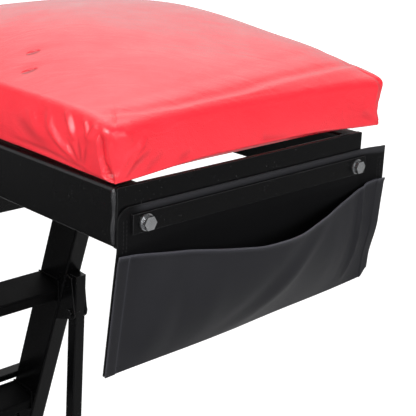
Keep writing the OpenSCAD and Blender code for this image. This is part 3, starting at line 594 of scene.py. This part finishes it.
def painted_fold_shade(along, z, lip_shift):
    """Painted shade beside the lip of a corner fold, from 0 to 1: a step at the lip that
    fades into the recess by an exponential, and is deeper near the foot."""
    low = z - FOLD_LEVEL
    lip = np.interp(low, LIP_UP, LIP_ALONG) + lip_shift
    behind = smoothstep((lip - along) / 0.0012) * np.exp(-np.clip(lip - along, 0, 1) / 0.009)
    deep = smoothstep((0.234 - low) / 0.010) * smoothstep((along + 0.006) / 0.004)
    return np.clip(behind * (0.42 + 0.38 * deep), 0, 1) * smoothstep((0.265 - low) / 0.008)


def around(values):
    """Values round the outline, each replaced by a bell-shaped mean over its neighbours."""
    bell = np.hanning(63)[1:-1]
    reach = len(bell) // 2
    ring = np.concatenate([values[-reach:], values, values[:reach]])
    return np.convolve(ring, bell / bell.sum(), "valid")


def cover_rows(sharp, out, long_side, dist):
    """Rows of the cover from its hem under the board, round the lower edge, up the wall and over
    the top edge, whose arc stops where it has the dome's own slope. Returns every row's inset and
    height at each column, the rows' corner radii, and the height of the wall's foot and top."""
    count = len(dist)
    # the foot is low at the corners and higher in the middle of the ends
    foot = np.where(long_side, 0.0062 + 0.002 * smoothstep(dist / 0.15),
                    0.0050 + 0.0078 * smoothstep(0.12 + dist / 0.15)) + FRAME_Z
    # the dome's slope between 6 and 9 mm from the rim
    outer, inner = sharp - out * 0.006, sharp - out * 0.009
    rise = (dome(*inner.T) - dome(*outer.T)) / 0.003
    stop = around(math.pi / 2 - np.arctan(np.clip(rise, 0, 3)))
    r_top = around(0.014 - 0.005 * np.abs(out[:, 0]))
    arc_in = r_top * (1 - np.cos(stop))
    rim_z = around(dome(*(sharp - out * arc_in[:, None]).T))
    wall_top = rim_z - r_top * np.sin(stop)
    insets, heights, radii = [], [], []
    for inset in (0.045, 0.034, 0.024, 0.014, 0.007):
        share = smoothstep((BOARD_IN - inset) / BOARD_IN)
        insets.append(np.full(count, inset))
        heights.append((PAD_Z - 0.0007) * (1 - share) + foot * share)
        radii.append(0.004)
    r_low = 0.0035
    for k in range(5):
        angle = k / 4 * math.pi / 2
        insets.append(np.full(count, r_low * (1 - math.sin(angle))))
        heights.append(foot + r_low * (1 - math.cos(angle)))
        radii.append(0.005)
    wall_rows = 34
    for k in range(1, wall_rows):
        share = k / wall_rows
        insets.append(np.zeros(count))
        heights.append(foot + r_low + (wall_top - foot - r_low) * share)
        radii.append(0.005 + 0.009 * float(smoothstep(share * 3)))
    for k in range(8):
        angle = stop * k / 7
        insets.append(r_top * (1 - np.cos(angle)))
        heights.append(wall_top + r_top * np.sin(angle))
        radii.append(0.014)
    return np.array(insets), np.array(heights), radii, foot, wall_top


def drawn_folds(z, dist, long_side, near, head):
    """Sum of the folds that run out of the four corners, each a ridge on its own walls."""
    folds = np.zeros_like(z)
    walls = [(LONG_FOLDS, long_side, np.where(near & head, 1.0, 0.8)),
             (END_FOLDS, ~long_side & near, 1), (FAR_END_FOLDS, ~long_side & ~near, 1),
             (LOBE, long_side & head & ~near, 1)]
    for rows, where, grow in walls:
        for path, width, height in rows:
            folds += np.where(where, ridge(dist, z, path, width, height) * grow, 0)
    return folds


def build_pad():
    """Vinyl cover as one closed ring of columns: hem under the board, wall, a top edge whose arc
    runs into the dome's own slope, then rings that shrink to the middle of the top. Its wall is
    pushed out along its normals by the folds, a belly and slow waves."""
    count = 1000
    side, way = outline(count, PAD_A, PAD_B)
    length = np.where(side % 2 == 0, 2 * PAD_A, 2 * PAD_B)
    dist = np.minimum(way, length - way)
    long_side = side % 2 == 1
    sharp, out = (rows[0] for rows in rounded(side, way, PAD_A, PAD_B, [0.0005]))
    near = sharp[:, 0] < 0
    head = sharp[:, 1] < 0
    inset, z, radii, foot, wall_top = cover_rows(sharp, out, long_side, dist)
    side_rows = len(inset)
    point, normal = rounded(side, way, PAD_A, PAD_B, radii)
    rings = (1 - np.linspace(0, 1, 61)[1:] ** 1.3)[:, None, None]
    cover = np.zeros((side_rows + len(rings), count, 3))
    cover[:side_rows, :, :2] = point - normal * inset[..., None]
    cover[:side_rows, :, 2] = z
    edge = cover[side_rows - 1, :, :2]
    cover[side_rows:, :, :2] = edge * rings
    cover[side_rows:, :, 2] = dome(cover[side_rows:, :, 0], cover[side_rows:, :, 1])
    cover[side_rows:, :, 2] += (z[-1] - dome(*edge.T)) * np.clip(1 - (1 - rings[..., 0]) / 0.12, 0, 1)
    # folds of the four corners
    along = np.where(long_side, dist, -dist)
    lip_shift = np.select([near & head, head, near], [0.0, 0.003, -0.002], 0.002)
    above_hem = inset < 0.03
    wall = smoothstep((z - foot) / 0.006 + 0.15) * above_hem
    folds = drawn_folds(z, dist, long_side, near, head)
    push = corner_fold(along, z, lip_shift) * wall + folds * wall * smoothstep(dist / 0.005)
    # the two head corners stand out, and between the corners lie a belly and slow waves
    sideways = normal[..., 0] ** 2
    stand = smoothstep((z - foot) / 0.045) * np.exp(-dist / 0.045) * (near & head)
    push += (0.0025 + 0.0040 * sideways) * stand * above_hem
    push += 0.0045 * sideways * np.exp(-dist / 0.06) * (~near & head) * above_hem
    up = np.clip((z - foot) / (wall_top - foot), 0, 1)
    belly = np.where(long_side, 0.0030, 0.0012) * smoothstep(dist / 0.09)
    waves = np.where(long_side, 0.0011, 0.0004) * (
        np.sin(way / 0.043 + side + 3 * up) + 0.6 * np.sin(way / 0.0191 + 2 * side - 2 * up))
    push += (belly + waves * smoothstep(dist / 0.12)) * np.sin(up * math.pi) * above_hem
    cover[:side_rows, :, :2] += normal * push[..., None]
    dent_top(cover[side_rows:])
    cover += (PAD_X, PAD_Y, 0)
    flat = cover.reshape(-1, 3)
    points = np.vstack([flat, flat[-count:].mean(0)])
    last = (cover.shape[0] - 1) * count
    ring = np.arange(count)
    caps = np.stack([last + ring, last + (ring + 1) % count, np.full(count, len(flat))], -1)
    faces = sheet_faces(cover.shape[0], count, closed=True)[:, ::-1].tolist() + caps.tolist()
    pad = add_piece("pad_cover", points, faces, RED_VINYL, "deck")
    # painted shade for the vinyl: darker behind the corner folds' lips and along the folds' valleys
    shade = np.zeros(cover.shape[:2])
    hollow = 0.3 * np.clip(-folds / 0.0015, 0, 1)
    shade[:side_rows] = painted_fold_shade(along, z, lip_shift) * wall + hollow * wall
    set_values(pad, "painted_fold_shade", np.append(shade.ravel(), 0.0))
    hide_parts("pad")


# Shallow hollows of the top: place, turn, half length, half width and depth
HOLLOWS = [(0.060, 0.080, 0.4, 0.060, 0.020, 0.0012), (-0.040, -0.150, -0.3, 0.070, 0.022, 0.0010),
         (-0.1436, -0.0776, -0.75, 0.014, 0.008, 0.0010),
         (-0.1669, -0.1037, -0.75, 0.014, 0.008, 0.0010)]
# Distance of the long crease from the rim of an end, along the width
CREASE_X = [-0.19, -0.15, -0.106, -0.022, 0.078, 0.15, 0.19]
CREASE_D = [0.0300, 0.0170, 0.0120, 0.0154, 0.0240, 0.0280, 0.0360]


def dent_top(top):
    """Lowers the rings of the top in place: each hollow is a bell with a faint rim beside it, a
    crease and its echo run along each end, and slow waves cross the middle."""
    x, y, z = (top[..., k] for k in range(3))
    for px, py, turn, long, wide, deep in HOLLOWS:
        cos, sin = math.cos(turn), math.sin(turn)
        u = (x - px) * cos + (y - py) * sin
        v = (y - py) * cos - (x - px) * sin
        z -= deep * (np.exp(-(u / long) ** 2 - (v / wide) ** 2)
                     - 0.6 * np.exp(-(u / long) ** 2 - ((v - 1.7 * wide) / wide) ** 2))
    fade = smoothstep((0.193 - np.abs(x)) / 0.02)
    for e in (-1, 1):
        deep = PAD_B + e * y - np.interp(x, CREASE_X, CREASE_D) - 0.0008 * np.sin(x / 0.021)
        z -= 0.0017 * np.exp(-(deep / 0.0046) ** 2) * fade
        z += 0.0008 * np.exp(-((deep + 0.009) / 0.005) ** 2) * fade
        z -= 0.0006 * np.exp(-((deep - 0.026 - 0.03 * x) / 0.007) ** 2) * fade
    z += 0.0010 * np.sin(x / 0.037 + 1.0) * np.sin(y / 0.061) * smoothstep(
        (PAD_A - np.abs(x)) / 0.05) * smoothstep((PAD_B - np.abs(y)) / 0.05)


build_pad()

# ---------------------------------------------------------------- pouch

# Right and left border of the pouch, its top edge, and the underside of the frame's tube
POUCH_X0, POUCH_X1 = -0.1785, 0.2120
POUCH_TOP = FRAME_Z - 0.020
TUBE_BOTTOM = FRAME_Z - 0.060
# Plane that the pouch hangs against, and the cloth's thickness
BACK_Y = HEAD_Y - 0.0003
CLOTH_T = 0.0016
# Air behind the back panel, and the sum of the air behind both panels
BACK_AIR = 0.0004
FRONT_AIR = 0.0009
# Width of the bound borders, and how proud the binding stands
BINDING_W = 0.0125
BINDING_T = 0.0009
# Estimated cut of the pocket's front: width and length
# Distances of the stitch rows from a border, and of one stitch from the next
STITCH_ROWS = (0.0065, 0.0105)
STITCH_STEP = 0.0042
# Half length, half width and half height of one stitch
STITCH = (0.0015, 0.00035, 0.00045)


def hem_height(x):
    """Height of the pouch's hem: straight stretches that rise towards the left border, whose
    corner is cut off by a smooth step."""
    base = np.interp(x, [POUCH_X0, 0.0, POUCH_X1], [0.0, 0.0045, 0.0145])
    return FRAME_Z - 0.1975 + base + 0.010 * smoothstep((x - POUCH_X1 + 0.012) / 0.012)


def back_y(x, z):
    """Surface along Y that the pouch lies against: flat on the head plate. Below the plate it
    leans in, in proportion to the depth, with a faint ripple, and the left border flares off the
    plate's end by smooth steps."""
    swing = np.interp(x, [POUCH_X0, POUCH_X1], [0.0185, 0.0085])
    lean = swing * np.clip((TUBE_BOTTOM + 0.002 - z) / 0.135, 0, 1.1)
    flare = 0.0065 * smoothstep((x - 0.176) / 0.034) * smoothstep((z - 1.05) / 0.05)
    ripple = 0.0006 * np.sin(x / 0.031) * smoothstep((TUBE_BOTTOM - z) / 0.03)
    return BACK_Y + lean - flare + ripple


# The pocket's mouth from the right border to the left: place, height over the frame's top and
# how far it gapes, in millimetres
MOUTH_X = np.array([-178.5, -168, -140, -100, -60, -20, 20, 50, 80, 110, 140, 170, 190, 200, 212])
MOUTH_Z = np.array([-66, -66.5, -68, -71, -76, -80.5, -79.5, -78, -73.5, -69.5, -67, -63.5, -58,
                    -57, -57])
MOUTH_GAP = np.array([0, 1.0, 9, 20, 31, 40, 44, 40.5, 31.5, 22, 13.5, 6, 1.5, 0, 0])


def smooth_curve(x, xs, ys, width=0.010):
    """A bent line through points, softened by the mean of five shifted copies."""
    return sum(np.interp(x + k * width, xs, ys) for k in (-1, -0.5, 0, 0.5, 1)) / 5


def mouth(x):
    """Top edge of the pocket's front: its height, and how far it gapes from the back."""
    z = FRAME_Z + smooth_curve(x, MOUTH_X * MM, MOUTH_Z * MM)
    return z, smooth_curve(x, MOUTH_X * MM, MOUTH_GAP * MM, 0.012)


def cloth_panel(name, grid, material):
    """A thin closed sheet: a grid of points moved half the cloth's thickness along its normals
    to either side, which are the cross product of its gradients, and joined by a rim. Its UV
    map is the grid's X and Z in metres, and its points are the front's, then the back's."""
    gu, gv = np.gradient(grid, axis=0), np.gradient(grid, axis=1)
    normal = np.cross(gu, gv)
    normal /= np.linalg.norm(normal, axis=-1, keepdims=True)
    nu, nv = grid.shape[:2]
    front, back = grid + normal * CLOTH_T / 2, grid - normal * CLOTH_T / 2
    points = np.concatenate([front.reshape(-1, 3), back.reshape(-1, 3)])
    quads = sheet_faces(nu, nv)
    size = nu * nv
    ring = np.concatenate([np.arange(nv), np.arange(1, nu) * nv + nv - 1,
                           (nu - 1) * nv + np.arange(nv - 2, -1, -1),
                           np.arange(nu - 2, 0, -1) * nv])
    nxt = np.roll(ring, -1)
    rim = np.stack([ring, nxt, nxt + size, ring + size], -1)
    faces = np.concatenate([quads, quads[:, ::-1] + size, rim[:, ::-1]])
    uv = np.tile(grid[..., [0, 2]].reshape(-1, 2), (2, 1))
    return add_piece(name, points, faces.tolist(), material, "deck", uv)


def bells(x, rows):
    """Sum of bell curves, each given by its middle, width and height."""
    return sum(h * np.exp(-((x - c) / w) ** 2) for c, w, h in rows)


def build_back_panel(x, v, low):
    """Back of the pouch, whose upper right corner is an arc: points on back_y, a share v of the
    way from the top edge down to the hem. Its border above the clamp strip carries a painted
    highlight, brightest along its top. Returns it and its greatest drop."""
    radius = 0.014
    into = np.clip(radius - (x - POUCH_X0), 0, 1)
    corner = radius - np.sqrt(np.clip(radius ** 2 - into ** 2, 0, 1))
    top = POUCH_TOP - corner + 0.001 * smoothstep((x - 0.17) / 0.03)
    X = np.repeat(x[:, None], len(v), 1)
    Z = top[:, None] + (low - top)[:, None] * v
    panel = cloth_panel("pouch_back", np.stack([X, back_y(X, Z) - CLOTH_T / 2 - BACK_AIR, Z], -1),
                        POUCH_CLOTH)
    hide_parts("pouch")
    clamp_lo, clamp_hi = span("clamp_strip")
    # painted highlight: paler above the clamp strip, brightest along the top
    rise = (Z - clamp_hi[2]) / (POUCH_TOP - clamp_hi[2])
    top_highlight = (0.8 + 0.7 * rise) * smoothstep(rise / 0.2) * smoothstep((X - clamp_lo[0]) / 0.02)
    set_values(panel, "painted_edge_highlight", np.tile(top_highlight.ravel(), 2))
    return panel, float((top - low).max())


def build_front_panel(x, v, low):
    """Front of the pocket: points a share v of the way from the mouth down to the hem. It stands
    off the back by the mouth's gap times a power of the height, by a broad bow, by bells along
    upright and slanting folds, by a rolled edge at the mouth and by the bound borders."""
    mouth_z, gap = mouth(x)
    X = np.repeat(x[:, None], len(v), 1)
    Z = mouth_z[:, None] + (low - 0.0004 - mouth_z)[:, None] * v
    # height in the pocket from 0 at the hem to 1 at the mouth
    up = np.clip((Z - low[:, None]) / (mouth_z - low)[:, None], 0, 1)
    inside = smoothstep((X - POUCH_X0 - 0.012) / 0.05) * smoothstep((POUCH_X1 - 0.014 - X) / 0.05)
    folds = bells(X, [(-0.135, 0.012, 0.0022), (-0.105, 0.010, -0.0018), (-0.07, 0.014, 0.0016),
                      (0.06, 0.022, -0.0022), (0.11, 0.018, 0.0020)]) * inside
    crease_x = 0.176 - 0.016 * (1 - up)
    folds += 0.0052 * np.exp(-((X - crease_x) / 0.0040) ** 2) * smoothstep(up * 6)
    folds -= 0.0022 * np.exp(-((X - crease_x + 0.016) / 0.010) ** 2) * smoothstep(up * 6)
    slant = (X - 0.060 - 0.9 * (Z - 1.105)) / 1.35
    pair = np.exp(-(slant / 0.011) ** 2) - 0.7 * np.exp(-((slant + 0.024) / 0.012) ** 2)
    folds += 0.0030 * pair * inside
    binding = BINDING_T * (smoothstep((POUCH_X0 + BINDING_W - X) / 0.0008)
                           + smoothstep((X - POUCH_X1 + BINDING_W) / 0.0008))
    bow = gap[:, None] * up ** 0.8 + 0.010 * np.sin(up * math.pi) * inside
    rolled = 0.0012 * np.exp(-((mouth_z[:, None] - Z) / 0.0035) ** 2)
    Y = (back_y(X, Z) - CLOTH_T * 1.5 - FRONT_AIR - bow - folds * np.sin(up * math.pi * 0.9)
         - rolled - binding)
    panel = cloth_panel("pouch_front", np.stack([X, Y, Z], -1), POUCH_FRONT)
    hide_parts("pouch")
    # painted highlight along the mouth's rolled edge and down the left border's seam
    seam = np.minimum(X - POUCH_X0, np.abs(X - POUCH_X0 - BINDING_W))
    mouth_and_seam_highlight = np.exp(-(mouth_z[:, None] - Z) / 0.0011) + 0.35 * np.exp(-seam / 0.0009)
    set_values(panel, "painted_edge_highlight", np.tile(np.clip(mouth_and_seam_highlight, 0, 1).ravel(), 2))
    return panel


def build_pouch():
    """Two panels on the same columns, which crowd at the borders, and their stitches."""
    u = np.concatenate([np.linspace(0, 0.05, 26), np.linspace(0.05, 0.95, 132)[1:-1],
                        np.linspace(0.95, 1, 26)])
    x = POUCH_X0 + (POUCH_X1 - POUCH_X0) * u
    v = np.linspace(0, 1, 90)
    low = hem_height(x)
    back, drop = build_back_panel(x, v, low)
    front = build_front_panel(x, v, low)
    stitches = build_stitches()


def build_stitches():
    """Short thread loops: a double row down each border, and one row along the hem. Each stitch
    is a stretched ball half sunk in the cloth."""
    places, leans = [], []

    def front_y(px, pz, up):
        return back_y(px, pz) - CLOTH_T * 2 - FRONT_AIR - mouth(px)[1] * up ** 0.8

    margin = 0.012
    for px in [POUCH_X0 + d for d in STITCH_ROWS] + [POUCH_X1 - d for d in STITCH_ROWS]:
        row_foot = float(hem_height(px)) + margin
        mouth_z = float(mouth(px)[0])
        for pz in np.arange(row_foot, POUCH_TOP - margin, STITCH_STEP):
            up = np.clip((pz - row_foot + margin) / (mouth_z - row_foot + margin), 0, 1)
            on_front = pz < mouth_z - 0.001
            y = front_y(px, pz, up) if on_front else back_y(px, pz) - CLOTH_T - BACK_AIR
            places.append((px, float(y), pz))
            leans.append((0, 0, 1))
    for px in np.arange(POUCH_X0 + 0.014, POUCH_X1 - 0.016, STITCH_STEP):
        pz = float(hem_height(px)) + 0.0065
        places.append((px, float(back_y(px, pz)) - CLOTH_T * 2 - 0.0011, pz))
        leans.append((1, 0, 0.025))
    places, leans = np.array(places), np.array(leans, float)
    nu, nv = 6, 8
    polar = np.linspace(0.12, math.pi - 0.12, nu)
    turn = np.linspace(0, 2 * math.pi, nv, endpoint=False)
    polar_grid, turn_grid = np.meshgrid(polar, turn, indexing="ij")
    ball = np.stack([np.sin(polar_grid) * np.cos(turn_grid),
                     np.sin(polar_grid) * np.sin(turn_grid), np.cos(polar_grid)], -1).reshape(-1, 3)
    out = np.array([0.0, 1.0, 0.0])
    side_way = np.cross(leans, out)
    points = (places[:, None, :] + ball[None, :, 2:3] * leans[:, None, :] * STITCH[0]
              + ball[None, :, 0:1] * side_way[:, None, :] * STITCH[1]
              + ball[None, :, 1:2] * out * STITCH[2])
    quads = sheet_faces(nu, nv, closed=True)
    ends = [list(range(nv))[::-1], list(range((nu - 1) * nv, nu * nv))]
    faces = []
    for k in range(len(places)):
        faces += (quads + k * nu * nv).tolist()
        faces += [[v + k * nu * nv for v in end] for end in ends]
    uv = np.repeat(places[:, [0, 2]], nu * nv, 0)
    return add_piece("pouch_stitches", points.reshape(-1, 3), faces, THREAD, "deck",
                     uv)


build_pouch()

# ---------------------------------------------------------------- welds

# Half widths of the weld beads at the end plates, round the rungs and along the rungs' tops
PLATE_BEAD, RUNG_BEAD, RUNG_TOP_BEAD = 0.0027, 0.0015, 0.0013
# Spacing of the ripples along a bead
RIPPLE = 0.0024


def build_beads(name, lines, body, material):
    """Weld beads as rippled tubes. Each line is start, end and half width. The radius is the half
    width times the ripples, a slow wave and an even power that closes both ends, and the middle
    sways by a sine."""
    nu, nv = 90, 12
    u = np.linspace(0, 1, nu)
    b = np.linspace(0, 2 * math.pi, nv, endpoint=False)
    points, faces = [], []
    for k, (start, end, radius) in enumerate(lines):
        start, end = np.array(start, float), np.array(end, float)
        length = np.linalg.norm(end - start)
        d = (end - start) / length
        side = np.cross(d, (0.31, 0.17, 0.93) if abs(d[2]) < 0.8 else (1, 0, 0))
        side /= np.linalg.norm(side)
        other = np.cross(d, side)
        s = u * length
        size = radius * (0.85 + 0.22 * np.abs(np.sin(math.pi * s / RIPPLE + k))
                         + 0.12 * np.sin(s / 0.0045 + 2 * k))
        size = size * np.sqrt(np.clip(1 - np.abs(2 * u - 1) ** 14, 1e-4, 1))
        sway = 0.25 * radius * np.sin(s / 0.0071 + 3 * k)
        ring = np.cos(b)[None, :, None] * side + np.sin(b)[None, :, None] * other
        line = start + s[:, None] * d + sway[:, None] * (side + other) * 0.5
        points.append((line[:, None, :] + ring * size[:, None, None]).reshape(-1, 3))
        quads = sheet_faces(nu, nv, closed=True) + k * nu * nv
        faces += quads[:, ::-1].tolist()
        faces += [[k * nu * nv + v for v in range(nv)],
                  [k * nu * nv + (nu - 1) * nv + v for v in range(nv)][::-1]]
    add_piece(name, np.concatenate(points), faces, material, body)


def build_welds():
    """Beads where the end plates close the deck rails, and where the rungs meet the stiles. The
    middle of each lies a little inside the joint's face."""
    lines = []
    for rail in DECK_RAILS:
        lo, hi = span(rail)
        x = hi[0] if rail.startswith("left") else lo[0]
        x -= math.copysign(0.0005, x)
        for y in (lo[1], hi[1]):
            lines.append(((x, y, lo[2] + 0.003), (x, y, hi[2] - 0.001), PLATE_BEAD))
    build_beads("plate_welds", lines, "deck", WELD_BLACK)
    lines = []
    for rung in RUNGS:
        lo, hi = span(rung)
        for x in (lo[0], hi[0]):
            x -= math.copysign(0.0004, x)
            front, back = lo[1] + 0.003, hi[1] - 0.003
            lines.append(((x, lo[1], lo[2] + 0.001), (x, lo[1], hi[2] - 0.001), RUNG_BEAD))
            lines.append(((x, front, lo[2]), (x, back, lo[2]), RUNG_BEAD))
            lines.append(((x, front, hi[2]), (x, back, hi[2]), RUNG_TOP_BEAD))
    build_beads("rung_welds", lines, "ladder", TREAD_BLACK)


build_welds()

# ---------------------------------------------------------------- stage, light, camera

# Glow of the floor in mirrored rays along X, a painted reflection, from 4 m on the right to 4 m on
# the left
FLOOR_MIRROR = [(0.0, 0.34), (0.17, 0.28), (0.27, 0.05), (0.5, 0.12), (0.64, 0.50), (0.74, 0.30),
                (0.85, 0.25)]


def build_stage():
    """Pale floor that keeps the object's shadow. To the camera it also glows, less near the
    object and as white as the backdrop further off. Mirrored rays meet a painted reflection
    instead: the floor glows dimly, darkest about 2 m to the right and brightest about 1 m to the
    left."""
    material, n, shader = new_material("floor_paint", Roughness=0.9, Specular_IOR_Level=0.2)
    shader.inputs["Base Color"].default_value = (0.86, 0.86, 0.86, 1)
    rays = n.add("LightPath")
    where = n.add("TexCoord").outputs["Object"]
    far = n.add("VectorMath", operation="LENGTH", in_0=where).outputs["Value"]
    lift = n.add("MapRange", in_0=far, in_1=1.5, in_2=6.0, in_3=0.44, in_4=1.0)
    glow = n.add("Emission", in_Strength=lift.outputs[0])
    both = n.add("AddShader")
    n.link(shader.outputs[0], both.inputs[0])
    n.link(glow.outputs[0], both.inputs[1])
    pick = n.add("MixShader", in_Fac=rays.outputs["Is Camera Ray"])
    n.link(shader.outputs[0], pick.inputs[1])
    n.link(both.outputs[0], pick.inputs[2])
    across = n.add("SeparateXYZ", in_0=where).outputs[0]
    share = n.math("MULTIPLY_ADD", across, 0.125, 0.5)
    # painted reflection: a glow of the floor seen only in mirrored rays
    painted_reflection_glow = n.add("Emission", in_Color=n.ramp(share, FLOOR_MIRROR), in_Strength=1.0)
    last = n.add("MixShader", in_Fac=rays.outputs["Is Glossy Ray"])
    n.link(pick.outputs[0], last.inputs[1])
    n.link(painted_reflection_glow.outputs[0], last.inputs[2])
    n.link(last.outputs[0], n.tree.nodes["Material Output"].inputs[0])
    side = 30.0
    mesh = bpy.data.meshes.new("floor")
    mesh.from_pydata([(-side, -side, -0.001), (side, -side, -0.001), (side, side, -0.001),
                      (-side, side, -0.001)], [], [(0, 1, 2, 3)])
    mesh.materials.append(material)
    new_object("floor", mesh)


def build_world():
    """White to the camera. To all other rays, mirrored ones too, it is brightest behind and
    above the object on its left, and fades towards the floor and the viewer's side."""
    world = bpy.data.worlds.new("studio")
    bpy.context.scene.world = world
    world.use_nodes = True
    n = Nodes(world.node_tree)
    back = n.tree.nodes["Background"]
    rays = n.add("LightPath")
    place = n.add("TexCoord").outputs["Generated"]
    lean = n.add("VectorMath", operation="DOT_PRODUCT", in_0=place, in_1=(0.52, 0.62, 0.587))
    level = n.ramp(n.math("MULTIPLY_ADD", lean.outputs["Value"], 0.5, 0.5),
                   [(0.25, 0.03), (0.6, 0.08), (0.80, 0.36), (0.92, 0.85), (1.0, 1.08)])
    soft = n.add("Background", in_Strength=1.0)
    n.link(level, soft.inputs["Color"])
    back.inputs["Color"].default_value = (1, 1, 1, 1)
    pick = n.add("MixShader", in_Fac=rays.outputs["Is Camera Ray"])
    n.link(soft.outputs[0], pick.inputs[1])
    n.link(back.outputs[0], pick.inputs[2])
    n.link(pick.outputs[0], n.tree.nodes["World Output"].inputs[0])


def set_up(name, data, place, right, up, back):
    """A lamp or camera at a place, turned to three unit directions."""
    thing = new_object(name, data)
    turn = Matrix(np.column_stack([right, up, back]).tolist()).to_4x4()
    turn.translation = place
    thing.matrix_world = turn
    return thing


def add_lamp(name, place, aim, size, power):
    """A level rectangular lamp that faces its aim."""
    light = bpy.data.lights.new(name, "AREA")
    light.shape = "RECTANGLE"
    light.size, light.size_y = size
    light.energy = power
    p, q = np.array(place, float), np.array(aim, float)
    back = (p - q) / np.linalg.norm(p - q)
    right = np.cross((0, 0, 1), back)
    right /= np.linalg.norm(right)
    return set_up(name, light, place, right, np.cross(back, right), back)


def build_camera():
    """Camera hung on the deck's near head corner, looking along the deck and down."""
    corner = np.array([span("right_deck_rail")[0][0], HEAD_Y, FRAME_Z])
    camera = bpy.data.cameras.new("camera")
    camera.lens, camera.sensor_width = 91.73, 36.0
    camera.clip_start, camera.clip_end = 0.05, 100.0
    bpy.context.scene.camera = set_up(
        "camera", camera, corner + np.array([-0.5844, -0.7122, 0.2910]),
        right=np.array([0.72138, -0.69143, 0.03916]), up=np.array([0.19237, 0.25438, 0.94778]),
        back=-np.array([0.66529, 0.67617, -0.31652]))


build_stage()
build_world()
add_lamp("overhead", (0.4, 0.9, 3.6), (0, 0, 1.0), (3.0, 2.2), 16)
add_lamp("near_left", (-2.5, -0.3, 2.4), (-0.1, -0.2, 1.1), (0.8, 1.1), 68)
# The front lamp would mirror as a white patch in the pad, so the small one gives the glints
front_lamp = add_lamp("front", (0.6, -3.2, 2.0), (0, -0.1, 0.9), (1.8, 1.4), 72)
front_lamp.visible_glossy = False
add_lamp("front_glint", (-1.0, -3.0, 2.2), (0, -0.1, 1.1), (0.7, 0.9), 34)
build_camera()
bpy.context.scene.view_settings.view_transform = "Standard"
